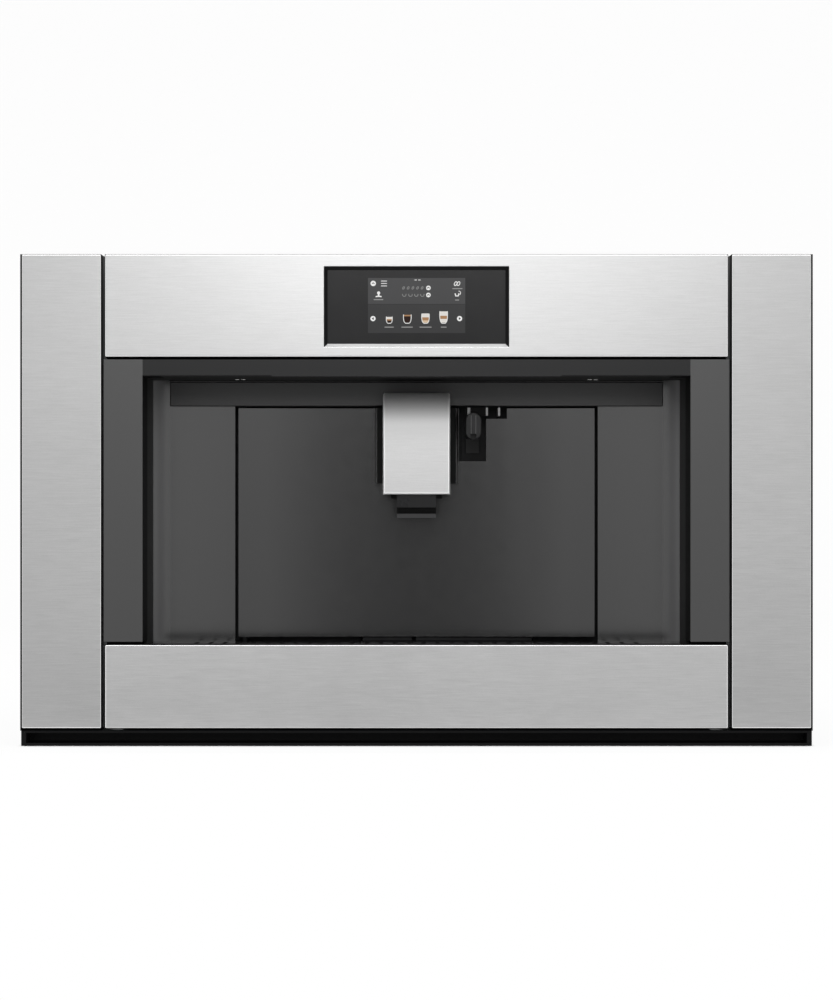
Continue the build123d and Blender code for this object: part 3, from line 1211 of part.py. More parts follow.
with BuildPart() as bean_hopper:
    under = DECK_Z - DECK_SHEET
    block(
        (DECK_LEFT - DECK_MARGIN, DECK_RIGHT + DECK_MARGIN),
        (DECK_FRONT - DECK_MARGIN, DECK_BACK + DECK_MARGIN),
        (under, DECK_Z),
    )
    block(
        (-POWDER_HALF - BEAN_WALL, POWDER_HALF + BEAN_WALL),
        (POWDER_FRONT - BEAN_WALL, POWDER_BACK + BEAN_WALL),
        (BREW_TOP + POWDER_GAP, under),
    )
    powder_z = (BREW_TOP + POWDER_GAP, DECK_Z)
    block((-POWDER_HALF, POWDER_HALF), (POWDER_FRONT, POWDER_BACK), powder_z, Mode.SUBTRACT)
    bean_centre = ((BEAN_LEFT + BEAN_RIGHT) / 2, (BEAN_FRONT + BEAN_BACK) / 2)
    bean_size = (BEAN_RIGHT - BEAN_LEFT, BEAN_BACK - BEAN_FRONT)
    for wall, mode in ((BEAN_WALL, Mode.ADD), (0, Mode.SUBTRACT)):
        with BuildSketch(Plane.XY.offset(THROAT_Z)):
            with Locations((GRINDER_X, GRINDER_Y)):
                Rectangle(2 * (THROAT_RADIUS + wall), 2 * (THROAT_RADIUS + wall))
        with BuildSketch(Plane.XY.offset(under)):
            with Locations(bean_centre):
                Rectangle(bean_size[0] + 2 * wall, bean_size[1] + 2 * wall)
        loft(ruled=True, mode=mode)
    block((BEAN_LEFT, BEAN_RIGHT), (BEAN_FRONT, BEAN_BACK), (under, DECK_Z), Mode.SUBTRACT)
    rod_z(KNOB_X, KNOB_Y, KNOB_SHAFT + LID_PIN_CLEARANCE, (under, DECK_Z), Mode.SUBTRACT)
    for left, right, front, back in MOUTHS.values():
        axis_y = back + LID_AXIS_BEHIND
        for inner, turn in ((left, -1), (right, 1)):
            lug = sorted((inner, inner - turn * LUG_SIZE))
            block(lug, (axis_y - LUG_HALF, axis_y + LUG_HALF), (DECK_Z, LID_AXIS_Z + LUG_HALF))
            rod_x(axis_y, LID_AXIS_Z, LID_PIN_RADIUS + LID_PIN_CLEARANCE, lug, Mode.SUBTRACT)
save(bean_hopper, "bean_hopper")

for name, (left, right, front, back) in MOUTHS.items():
    with BuildPart() as lid:
        axis_y = back + LID_AXIS_BEHIND
        plate_z = (DECK_Z + LID_GAP, DECK_Z + LID_GAP + LID_SHEET)
        neck_x = (left + LUG_SIZE + LID_GAP, right - LUG_SIZE - LID_GAP)
        plate_y = (front - LID_OVERLAP, axis_y - LID_NECK_GAP)
        block((left - LID_OVERLAP, right + LID_OVERLAP), plate_y, plate_z)
        block(neck_x, (axis_y - LID_NECK_GAP, axis_y), plate_z)
        rod_x(axis_y, LID_AXIS_Z, LUG_HALF, neck_x)
        rod_x(axis_y, LID_AXIS_Z, LID_PIN_RADIUS, (left + LID_GAP, right - LID_GAP))
    save(lid, name)

with BuildPart() as grind_knob:
    knob_foot = DECK_Z + LID_GAP
    rod_z(KNOB_X, KNOB_Y, KNOB_RADIUS, (knob_foot, knob_foot + KNOB_HEIGHT))
    with Locations((KNOB_X, KNOB_Y, knob_foot + KNOB_HEIGHT + KNOB_GRIP / 2)):
        Box(KNOB_GRIP_WIDTH, 2 * KNOB_RADIUS - KNOB_GRIP_WIDTH, KNOB_GRIP)
    rod_z(KNOB_X, KNOB_Y, KNOB_SHAFT, (knob_foot - KNOB_SHAFT_LENGTH, knob_foot))
save(grind_knob, "grind_knob")

# ---- boilers, pump, board, fan and mains inlet --------------------------------------------
COFFEE_BOILER_LEFT, COFFEE_BOILER_RIGHT = 95.0, 175.0
COFFEE_BOILER_RISE = 19.8    # above the grounds container
COFFEE_BOILER_HEIGHT = 97.0
COFFEE_BOILER_DEPTH = 58.0
BOILER_ROUND = 8.0
BOILER_STUB_RADIUS = 4.0
BOILER_STUB = 14.0
BOILER_STUB_INSET = 18.0
STEAM_X, STEAM_Y = 150.0, 140.0
STEAM_RADIUS = 38.0
STEAM_FLANGE = 4.0
STEAM_HEIGHT = 80.8
PUMP_X = -195.0
PUMP_Z = 58.0
PUMP_RADIUS = 22.0
PUMP_LENGTH = 105.0
PUMP_SETBACK = 58.3          # pump's back end in front of the rear panel
PUMP_FOOT_LENGTH = 16.0
BOARD_X = 255.0
BOARD_FRONT, BOARD_BACK = -60.0, 60.0
BOARD_FOOT, BOARD_TOP = 70.0, 190.0
STANDOFF_RADIUS = 3.0
STANDOFF_INSET = 8.0
CHIP_HEIGHT = 18.0
FAN_HUB_RADIUS = 14.0
FAN_SHAFT_RADIUS = 3.0
FAN_BLADES = 7
FAN_BLADE_RADIUS = 35.5
FAN_BLADE_SHEET = 1.8
BLADE_ROOT = 1.0             # blade sunk into the hub
FAN_BLADE_DEPTH = 11.0
FAN_BLADE_PITCH = 35.0
FAN_ARM = 5.0
FAN_SPIDER = 4.0
SOCKET_X = -200.0
SOCKET_WIDTH = 24.0
SOCKET_HEIGHT = 16.5
SOCKET_DEPTH = 17.0
CONTACT_WIDTH = 2.0
CONTACT_HEIGHT = 6.0
CONTACT_LENGTH = 15.0
CONTACT_PITCH = 7.0
INLET_BODY_DEPTH = 22.0
INLET_FLANGE = 4.0
SWITCH_X = -174.0
SWITCH_WIDTH = 13.0
SWITCH_HEIGHT = 19.0
SWITCH_WELL = 12.0
SWITCH_GAP = 0.6
SWITCH_REST = 8.0            # tilt of the rocker in its off position, in degrees
ROCKER_SETBACK = 7.2         # rocker axis in front of the flange's face
ROCKER_REACH = 4.0
ROCKER_SHEET = 3.0
ROCKER_BARREL = 3.0

COFFEE_BOILER_FOOT = GROUNDS_FOOT + GROUNDS_HEIGHT + COFFEE_BOILER_RISE
COFFEE_BOILER_TOP = COFFEE_BOILER_FOOT + COFFEE_BOILER_HEIGHT
STEAM_TOP = SHELF_TOP + STEAM_HEIGHT
PUMP_BACK = CASE_BACK_IN - PUMP_SETBACK
PUMP_FRONT = PUMP_BACK - PUMP_LENGTH

with BuildPart() as coffee_boiler:
    boiler_y = (BULKHEAD_BACK_Y, BULKHEAD_BACK_Y + COFFEE_BOILER_DEPTH)
    block(
        (COFFEE_BOILER_LEFT, COFFEE_BOILER_RIGHT),
        boiler_y,
        (COFFEE_BOILER_FOOT, COFFEE_BOILER_TOP),
    )
    fillet(coffee_boiler.edges().filter_by(Axis.Y), BOILER_ROUND)
    for stub_x in (COFFEE_BOILER_LEFT + BOILER_STUB_INSET, COFFEE_BOILER_RIGHT - BOILER_STUB_INSET):
        rod_z(
            stub_x,
            boiler_y[1] - BOILER_STUB_INSET,
            BOILER_STUB_RADIUS,
            (COFFEE_BOILER_TOP, COFFEE_BOILER_TOP + BOILER_STUB),
        )
save(coffee_boiler, "coffee_boiler")

with BuildPart() as steam_boiler:
    rod_z(STEAM_X, STEAM_Y, STEAM_RADIUS + STEAM_FLANGE, (SHELF_TOP, SHELF_TOP + STEAM_FLANGE))
    rod_z(STEAM_X, STEAM_Y, STEAM_RADIUS, (SHELF_TOP, STEAM_TOP))
    fillet(steam_boiler.faces().sort_by(Axis.Z)[-1].edges(), BOILER_ROUND)
    rod_z(STEAM_X, STEAM_Y, BOILER_STUB_RADIUS, (STEAM_TOP, STEAM_TOP + BOILER_STUB))
save(steam_boiler, "steam_boiler")

with BuildPart() as water_pump:
    rod_y(PUMP_X, PUMP_Z, PUMP_RADIUS, (PUMP_FRONT, PUMP_BACK))
    rod_y(PUMP_X, PUMP_Z, BOILER_STUB_RADIUS, (PUMP_FRONT - BOILER_STUB, PUMP_BACK + BOILER_STUB))
    for foot_y in (PUMP_FRONT, PUMP_BACK - PUMP_FOOT_LENGTH):
        block(
            (PUMP_X - PUMP_RADIUS, PUMP_X + PUMP_RADIUS),
            (foot_y, foot_y + PUMP_FOOT_LENGTH),
            (CHASSIS_TOP, PUMP_Z),
        )
save(water_pump, "water_pump")

with BuildPart() as power_board:
    block((BOARD_X, BOARD_X + BOARD_SHEET), (BOARD_FRONT, BOARD_BACK), (BOARD_FOOT, BOARD_TOP))
    for post_y in (BOARD_FRONT + STANDOFF_INSET, BOARD_BACK - STANDOFF_INSET):
        for post_z in (BOARD_FOOT + STANDOFF_INSET, BOARD_TOP - STANDOFF_INSET):
            rod_x(post_y, post_z, STANDOFF_RADIUS, (BOARD_X, CASE_IN))
    with BuildSketch(Plane.YZ.offset(BOARD_X)):
        with Locations(((BOARD_FRONT + BOARD_BACK) / 2, (BOARD_FOOT + BOARD_TOP) / 2)):
            with GridLocations(2 * CHIP_HEIGHT, 2 * CHIP_HEIGHT, 3, 3):
                Rectangle(CHIP_HEIGHT, CHIP_HEIGHT / 2)
    extrude(amount=-CHIP_HEIGHT)
save(power_board, "power_board")

FAN_Y = CASE_BACK_IN - FAN_DEPTH

with BuildPart() as fan_frame:
    half_fan = FAN_SIZE / 2
    block((FAN_X - half_fan, FAN_X + half_fan), (FAN_Y, CASE_BACK_IN), (FAN_Z - half_fan, FAN_Z + half_fan))
    rod_y(FAN_X, FAN_Z, FAN_HOLE_RADIUS, (FAN_Y, CASE_BACK_IN), Mode.SUBTRACT)
    for angle in (0, 90):
        with Locations(Location((FAN_X, FAN_Y + FAN_SPIDER / 2, FAN_Z), (0, angle, 0))):
            Box(2 * FAN_HOLE_RADIUS + FAN_ARM, FAN_SPIDER, FAN_ARM)
    rod_y(FAN_X, FAN_Z, FAN_HUB_RADIUS, (FAN_Y, FAN_Y + FAN_SPIDER))
    rod_y(FAN_X, FAN_Z, FAN_SHAFT_RADIUS, (FAN_Y, CASE_BACK_IN - 2 * FAN_SPIDER))
save(fan_frame, "fan_frame")

with BuildPart() as fan_impeller:
    hub_y = (FAN_Y + FAN_SPIDER + END_FLOAT, CASE_BACK_IN - FAN_SPIDER)
    rod_y(FAN_X, FAN_Z, FAN_HUB_RADIUS, hub_y)
    blade_x = (FAN_HUB_RADIUS + FAN_BLADE_RADIUS) / 2
    for blade in range(FAN_BLADES):
        turned = Location((FAN_X, sum(hub_y) / 2, FAN_Z), (0, blade * 360 / FAN_BLADES, 0))
        pitched = Location((blade_x - BLADE_ROOT, 0, 0), (FAN_BLADE_PITCH, 0, 0))
        with Locations(turned * pitched):
            Box(FAN_BLADE_RADIUS - FAN_HUB_RADIUS, FAN_BLADE_DEPTH, FAN_BLADE_SHEET)
    bore_y = (hub_y[0], CASE_BACK_IN - 2 * FAN_SPIDER + END_FLOAT)
    rod_y(FAN_X, FAN_Z, FAN_SHAFT_RADIUS + PIN_CLEARANCE, bore_y, Mode.SUBTRACT)
save(fan_impeller, "fan_impeller")

with BuildPart() as power_inlet:
    inlet_x = (INLET_X - INLET_WIDTH / 2, INLET_X + INLET_WIDTH / 2)
    inlet_z = (INLET_Z - INLET_HEIGHT / 2, INLET_Z + INLET_HEIGHT / 2)
    block(inlet_x, (CASE_BACK_Y - INLET_BODY_DEPTH, CASE_BACK_Y), inlet_z)
    block(
        (inlet_x[0] - INLET_FLANGE, inlet_x[1] + INLET_FLANGE),
        (CASE_BACK_Y, BACK_Y),
        (inlet_z[0] - INLET_FLANGE, inlet_z[1] + INLET_FLANGE),
    )
    with Locations((SOCKET_X, BACK_Y - SOCKET_DEPTH / 2, INLET_Z)):
        Box(SOCKET_WIDTH, SOCKET_DEPTH, SOCKET_HEIGHT, mode=Mode.SUBTRACT)
    with Locations((SOCKET_X, BACK_Y - SOCKET_DEPTH + CONTACT_LENGTH / 2, INLET_Z)):
        with GridLocations(CONTACT_PITCH, 1, 3, 1):
            Box(CONTACT_WIDTH, CONTACT_LENGTH, CONTACT_HEIGHT)
    with Locations((SWITCH_X, BACK_Y - SWITCH_WELL / 2, INLET_Z)):
        Box(
            SWITCH_WIDTH + 2 * SWITCH_GAP,
            SWITCH_WELL,
            SWITCH_HEIGHT + 4 * SWITCH_GAP,
            mode=Mode.SUBTRACT,
        )
save(power_inlet, "power_inlet")

with BuildPart() as power_switch:
    rocker_y = BACK_Y - ROCKER_SETBACK
    for turn in (-1, 1):
        tilt = Location((SWITCH_X, rocker_y, INLET_Z), (-SWITCH_REST * (1 + turn), 0, 0))
        wing = Location((0, ROCKER_REACH - ROCKER_SHEET / 2, turn * SWITCH_HEIGHT / 4))
        with Locations(tilt * wing):
            Box(SWITCH_WIDTH, ROCKER_SHEET, SWITCH_HEIGHT / 2)
    switch_x = (SWITCH_X - SWITCH_WIDTH / 2, SWITCH_X + SWITCH_WIDTH / 2)
    rod_x(rocker_y, INLET_Z, ROCKER_BARREL, switch_x)
save(power_switch, "power_switch")
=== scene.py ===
import json
import math

import bmesh
import bpy
import numpy as np
from bpy.props import FloatProperty, FloatVectorProperty, IntProperty, PointerProperty
from bpy.types import Operator, Panel, PropertyGroup
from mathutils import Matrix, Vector


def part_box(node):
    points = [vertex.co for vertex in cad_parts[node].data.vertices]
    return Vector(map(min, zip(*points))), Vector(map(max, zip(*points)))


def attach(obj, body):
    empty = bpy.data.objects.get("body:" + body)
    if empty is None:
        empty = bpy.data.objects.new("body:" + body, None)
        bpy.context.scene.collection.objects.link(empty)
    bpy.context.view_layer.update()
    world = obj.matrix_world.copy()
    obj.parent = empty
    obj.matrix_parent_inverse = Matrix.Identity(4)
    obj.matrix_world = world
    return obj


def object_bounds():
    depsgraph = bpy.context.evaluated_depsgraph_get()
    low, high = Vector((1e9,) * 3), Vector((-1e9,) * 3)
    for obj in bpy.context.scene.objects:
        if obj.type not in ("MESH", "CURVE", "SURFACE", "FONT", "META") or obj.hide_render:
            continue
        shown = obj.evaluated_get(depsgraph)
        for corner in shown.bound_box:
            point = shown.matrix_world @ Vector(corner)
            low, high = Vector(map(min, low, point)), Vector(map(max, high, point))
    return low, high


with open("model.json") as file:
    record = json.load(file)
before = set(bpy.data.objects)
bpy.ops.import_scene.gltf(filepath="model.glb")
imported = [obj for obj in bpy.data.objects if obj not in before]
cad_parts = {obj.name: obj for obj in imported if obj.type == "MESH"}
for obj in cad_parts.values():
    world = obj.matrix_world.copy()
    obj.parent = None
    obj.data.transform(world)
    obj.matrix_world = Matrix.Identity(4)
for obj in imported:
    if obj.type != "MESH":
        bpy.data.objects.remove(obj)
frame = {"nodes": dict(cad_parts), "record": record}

bl_info = {
    "name": "Built-in Coffee Machine",
    "version": (1, 0, 0),
    "blender": (4, 5, 0),
    "location": "3D View > Sidebar > Coffee Machine",
    "description": "Finishes and fine detail of a built-in coffee machine",
    "category": "Add Mesh",
}

CAD_BOX = [list(corner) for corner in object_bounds()]
NODES = frame["nodes"]


def low(node):
    """Lowest corner of a node as an array, in metres."""
    return np.array(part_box(node)[0])


def high(node):
    """Highest corner of a node as an array, in metres."""
    return np.array(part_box(node)[1])


def scaled(colour, share):
    """A colour made lighter or darker by a factor."""
    return tuple(c * share for c in colour)


GLASS_FACE = low("display_glass")[1]
GLASS_MIDDLE = (low("display_glass") + high("display_glass"))[[0, 2]] / 2  # x and z

# Places on the pieces that their boxes don't give, in metres.
RECESS_HALF = 0.2623          # from the middle to a side wall of the recess
BULKHEAD_FACE = -0.106        # front of the bulkhead behind the nozzle
EDGE_START = 0.00008          # broken edge of folded sheet, behind its face
FOLD_START = 0.0004           # and the fold behind that edge
TRIM_RETURN = 0.0007          # outer return of a trim, painted black as painted shade
RETURN_START = 0.0012         # inner return of the recess frame, behind its face, painted darker as painted shade
LCD_SIDES = (-0.0465, 0.0467)  # lit area of the glass, from its middle
LCD_UPPER = (0.0029, 0.0278)
LCD_LOWER = (-0.0249, 0.0025)
BEZEL_HALF = 0.0849           # mitre of the bezel's slope, from the glass's middle
BEZEL_DROP = 0.0352           # top of that slope, below the glass's middle
COVER_HIGHLIGHT = 0.002             # width of the painted highlight round the spout's cover
COVER_FOLD = (0.038, 0.017)   # middle of the cover's fold below its top, painted lighter as painted light, and its fade
OUTLET_HALF = 0.019           # half the width of the coffee outlet
OUTLET_LIP = 0.004            # top of the outlet's lip above its foot
OUTLET_GROOVE = 0.0101        # and top of the groove over it
SPINE_HALF = 0.0023           # half the width of the water spout's spine
SPINE_HIGHLIGHT = 0.0004           # half the width of a painted highlight beside the spine
SPINE_DROP = 0.003            # end of those painted highlights below the spout's top
TIP_HALF, TIP_HEIGHT = 0.0029, 0.0057  # notch at the water spout's tip, painted dark as painted shade
GUIDE_HIGHLIGHT = 0.0022           # width of the painted highlight down the guide's outer edges
WING_LIGHT_EDGE, WING_LIGHT_FADE = 0.0101, 0.0078  # painted light beside the side walls, and its fade

BAR_INSET, BAR_DEPTH = 0.0022, 0.003  # bars beside the nozzle, inside its ends
WIDE_BAR, SLIM_BAR = 0.003, 0.0022
POST_OUTSET = 0.0099          # slim post beside them, past the nozzle's end
SCREW_INSET = 0.009           # panel screws from the panels' edges
SIDE_SCREW_FRONT, SIDE_SCREW_BACK = 0.04, 0.02
MERGE = 0.000002              # points nearer than this are one
BREAK_ANGLE = math.radians(40.0)  # edges sharper than this are broken
# painted shade on the steel's folds and on the trims' outer returns
FOLD_SHADE = (0.003, 0.003, 0.003)
# painted shade in the spout's groove and beside its outlet
SPOUT_SHADE = (0.001, 0.001, 0.001)
FRONT_GRAIN = 0.34            # roughness of the brushed front
# shares of the steel's colour for the front, trims and foot: lit copies of one steel, painted
# light
STEEL_LIGHT_SHARES = {"front": 1.08, "trim": 1.01, "foot": 1.14}

FRONT_BOX = {"place": (0.0, -3.46, 1.4), "aim": (0.0, -0.24, 0.25), "size": (0.7, 1.2)}
TOP_BOX = {"place": (0.0, -0.5, 2.6), "aim": (0.0, 0.0, 0.2), "size": (2.6, 2.0)}
CAMERA_PLACE = (0.0, -2.7375, 0.236)
CAMERA_LENS, CAMERA_SENSOR = 94.03, 36.0


# ---- surfaces worked out as arrays --------------------------------------------------------


def grid_faces(rows, columns, close_rows=False, close_columns=False):
    """Quads of a grid of points: point (i, j) has number i * columns + j, and each quad joins
    (i, j), (i, j+1), (i+1, j+1) and (i+1, j), wrapping round where a direction is closed."""
    i = np.arange(rows if close_rows else rows - 1)
    j = np.arange(columns if close_columns else columns - 1)
    i, j = (a.ravel() for a in np.meshgrid(i, j, indexing="ij"))
    up, on = (i + 1) % rows, (j + 1) % columns
    quads = i * columns + j, i * columns + on, up * columns + on, up * columns + j
    return list(zip(*(corner.tolist() for corner in quads)))


def section_faces(count, closed=False):
    """Faces of a bar with a section of four points, capped at both ends unless it is closed."""
    last = (count - 1) * 4
    caps = [] if closed else [(3, 2, 1, 0), (last, last + 1, last + 2, last + 3)]
    return grid_faces(count, 4, closed, True) + caps


def swept_ribbon(path, width, face, thickness, closed=False):
    """Flat bar in the XZ plane along a path: at each point the section is a rectangle, half a
    width to each side along the path's normal, from the face back by the thickness. The normal is
    the mean tangent (next point minus the one before) turned by a quarter turn."""
    path = np.asarray(path, float)
    ahead = np.roll(path, -1, 0)
    behind = np.roll(path, 1, 0)
    if not closed:
        ahead[-1], behind[0] = path[-1], path[0]
    tangent = ahead - behind
    tangent /= np.linalg.norm(tangent, axis=1)[:, None]
    normal = np.stack([-tangent[:, 1], tangent[:, 0]], 1) * width / 2
    left, right = path + normal, path - normal
    section = [(left, face), (right, face), (right, face + thickness), (left, face + thickness)]
    points = np.stack([np.insert(edge, 1, y, axis=1) for edge, y in section], 1)
    return points.reshape(-1, 3), section_faces(len(path), closed)


def ring_path(x, z, radius, count=28, start=0.0, turn=360.0):
    """Points on a circle: centre plus radius times (cos a, sin a), a from start through turn."""
    closed = turn >= 360.0
    a = np.radians(start + np.linspace(0, turn, count, endpoint=not closed))
    return np.stack([x + radius * np.cos(a), z + radius * np.sin(a)], 1)


def turned_surface(profile, place, axis, count=20):
    """Surface of revolution: each point of the profile (distance along the axis, radius) goes to
    place + distance * axis + radius * (cos a * side + sin a * over), for a once round."""
    profile = np.asarray(profile, float)
    a = np.linspace(0, 2 * np.pi, count, endpoint=False)
    axis = np.asarray(axis, float) / np.linalg.norm(axis)
    side = np.cross(axis, [0.0, 0.0, 1.0] if abs(axis[2]) < 0.9 else [1.0, 0.0, 0.0])
    side /= np.linalg.norm(side)
    over = np.cross(axis, side)
    around = np.cos(a)[:, None] * side + np.sin(a)[:, None] * over
    along, radius = profile[:, 0, None, None], profile[:, 1, None, None]
    points = np.asarray(place) + along * axis + radius * around[None]
    return points.reshape(-1, 3), grid_faces(len(profile), count, False, True)


def joined(parts):
    """One mesh from several (points, faces), numbers of later parts moved up by those before."""
    points, faces, base = [], [], 0
    for p, f in parts:
        points.append(np.asarray(p, float))
        faces += [tuple(n + base for n in face) for face in f]
        base += len(p)
    return np.concatenate(points), faces


def rounded_bar(lower, upper, radius, steps=5):
    """Upright bar between two corners. Its section is a rectangle whose corners are quarter
    circles, and the section shrinks by the radius over the last radius at both ends, by
    1 - cos(a) across and sin(a) along."""
    lower, upper = np.asarray(lower, float), np.asarray(upper, float)
    middle, half = (lower + upper) / 2, (upper - lower) / 2
    a = np.linspace(0, np.pi / 2, steps)
    turn = np.concatenate([a + k * np.pi / 2 for k in range(4)])
    sign = np.repeat([[1, 1], [-1, 1], [-1, -1], [1, -1]], steps, 0)
    rows = []
    for shrink, z in [
        *((radius * (1 - np.sin(b)), lower[2] + radius * (1 - np.cos(b))) for b in a),
        *((radius * (1 - np.cos(b)), upper[2] - radius * (1 - np.sin(b))) for b in a),
    ]:
        core = half[:2] - radius
        ring = core * sign + (radius - shrink) * np.stack([np.cos(turn), np.sin(turn)], 1)
        rows.append(np.insert(ring + middle[:2], 2, z, axis=1))
    points = np.stack(rows)
    count = points.shape[1]
    faces = grid_faces(len(rows), count, False, True)
    last = (len(rows) - 1) * count
    faces += [tuple(range(count)), tuple(range(last, last + count))]
    return points.reshape(-1, 3), faces


def placed(name, data):
    """A new object in the scene."""
    obj = bpy.data.objects.new(name, data)
    bpy.context.scene.collection.objects.link(obj)
    return obj


def mesh_object(name, shape, material, smooth):
    """Puts points and faces into a mesh of one material."""
    points, faces = shape
    mesh = bpy.data.meshes.new(name)
    mesh.from_pydata(points.tolist(), [], faces)
    mesh.polygons.foreach_set("use_smooth", np.full(len(mesh.polygons), smooth))
    mesh.materials.append(material)
    mesh.validate()
    return placed(name, mesh)


def piece(name, shape, body, material, smooth=False):
    """A mesh that rides on a body, its normals pointing out."""
    obj = mesh_object(name, shape, material, smooth)
    outward(obj)
    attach(obj, body)
    return obj


def outward(obj):
    """Recalculates a mesh's normals so that its faces point out."""
    work = bmesh.new()
    work.from_mesh(obj.data)
    bmesh.ops.recalc_face_normals(work, faces=work.faces)
    work.to_mesh(obj.data)
    work.free()


# ---- finishes -----------------------------------------------------------------------------


class Nodes:
    """Shorthand for a tree's nodes and links."""

    def __init__(self, tree):
        self.tree = tree

    def add(self, kind, inputs=None, **settings):
        """A new node with its settings, and with its inputs fed by name or number."""
        node = self.tree.nodes.new(kind)
        for key, value in settings.items():
            setattr(node, key, value)
        for key, value in (inputs or {}).items():
            self.feed(node.inputs[key], value)
        return node

    def feed(self, socket, value):
        """Links an input to another node's socket, or gives it a value of its own."""
        if isinstance(value, bpy.types.NodeSocket):
            self.tree.links.new(value, socket)
        else:
            socket.default_value = value

    def worked(self, operation, *values):
        """Result of a Math node on sockets or numbers."""
        return self.add("ShaderNodeMath", dict(enumerate(values)), operation=operation).outputs[0]

    def sum_of(self, first, second):
        return self.worked("ADD", first, second)

    def both(self, first, second):
        """Product of two shares."""
        return self.worked("MULTIPLY", first, second)

    def outside(self, share):
        """One less a share."""
        return self.spread(share, 1.0, 0.0, 0.0, 1.0)

    def spread(self, value, low_end, high_end, start=0.3, end=0.7, kind="LINEAR"):
        """Maps the stretch from start to end on the one from low_end to high_end, clamped."""
        ends = {"From Min": start, "From Max": end, "To Min": low_end, "To Max": high_end}
        inputs = {"Value": value, **ends}
        return self.add("ShaderNodeMapRange", inputs, interpolation_type=kind).outputs["Result"]


class Finish(Nodes):
    """One node material. Patterns read Object coordinates, stretched by a Mapping node."""

    def __init__(self, name, colour, roughness, metallic=0.0, **sockets):
        self.material = bpy.data.materials.new(name)
        self.material.use_nodes = True
        super().__init__(self.material.node_tree)
        self.shader = self.tree.nodes["Principled BSDF"]
        self.colour = tuple(colour)
        self.put("Base Color", (*colour, 1.0))
        self.put("Roughness", roughness)
        self.put("Metallic", metallic)
        for socket, value in sockets.items():
            self.put(socket.replace("_", " "), value)
        self.where = self.add("ShaderNodeTexCoord").outputs["Object"]
        self.height = None

    def put(self, socket, value):
        """Feeds an input of the shader."""
        self.feed(self.shader.inputs[socket], value)

    def stretched(self, scale):
        """Object coordinates times a scale: one number, or one for each axis."""
        inputs = {"Vector": self.where, "Scale": np.broadcast_to(scale, 3).tolist()}
        return self.add("ShaderNodeMapping", inputs).outputs["Vector"]

    def noise(self, scale, detail=3.0, roughness=0.55):
        inputs = {"Vector": self.stretched(scale), "Scale": 1.0, "Detail": detail}
        inputs["Roughness"] = roughness
        return self.add("ShaderNodeTexNoise", inputs).outputs["Fac"]

    def cells(self, scale):
        return self.add("ShaderNodeTexVoronoi", {"Vector": self.stretched(scale), "Scale": 1.0})

    def mixed(self, share, *colours):
        """Colour between two colours or sockets by a share from 0 to 1. The Mix node's sockets
        6 and 7 are its two colours, and output 2 the mixed one."""
        first, second = (
            c if isinstance(c, bpy.types.NodeSocket) else (*c, 1.0) for c in colours
        )
        inputs = {"Factor": share, 6: first, 7: second}
        return self.add("ShaderNodeMix", inputs, data_type="RGBA").outputs[2]

    def tone(self, value, amount):
        """Lets a pattern make the colour lighter and darker by an amount."""
        dark = tuple(c * (1 - amount) for c in self.colour)
        pale = tuple(min(c * (1 + amount), 1.0) for c in self.colour)
        self.put("Base Color", self.mixed(value, dark, pale))

    def rough(self, value, low_end, high_end):
        self.put("Roughness", self.spread(value, low_end, high_end))

    def bump(self, value, depth, strength=1.0):
        inputs = {"Strength": strength, "Distance": depth, "Height": value}
        if self.height is not None:
            inputs["Normal"] = self.height
        self.height = self.add("ShaderNodeBump", inputs).outputs["Normal"]
        self.put("Normal", self.height)

    def zone(self, share, colour, roughness, metallic=None):
        """Gives the place where a share is 1 its own colour, if any, roughness and, if named,
        metal, over what the finish had there."""
        for socket, value in (("Roughness", roughness), ("Metallic", metallic)):
            if value is not None:
                inputs = {"Factor": share, "A": self.fed(socket), "B": value}
                mix = self.add("ShaderNodeMix", inputs, data_type="FLOAT")
                self.put(socket, mix.outputs["Result"])
        if colour is not None:
            base = self.shader.inputs["Base Color"]
            under = self.fed("Base Color") if base.is_linked else self.colour
            self.put("Base Color", self.mixed(share, under, colour))

    def fed(self, socket):
        """What an input of the shader is fed with: another node's socket or a value."""
        place = self.shader.inputs[socket]
        return place.links[0].from_socket if place.is_linked else place.default_value

    def along(self, axis):
        """Place along an axis."""
        return self.add("ShaderNodeSeparateXYZ", {"Vector": self.where}).outputs[axis]

    def band(self, axis, lower, upper, soft=0.0002):
        """1 between two places along an axis and 0 outside, over a soft edge."""
        place = self.along(axis)
        past = [self.spread(place, 0.0, 1.0, end - soft, end + soft) for end in (lower, upper)]
        return self.worked("SUBTRACT", *past)


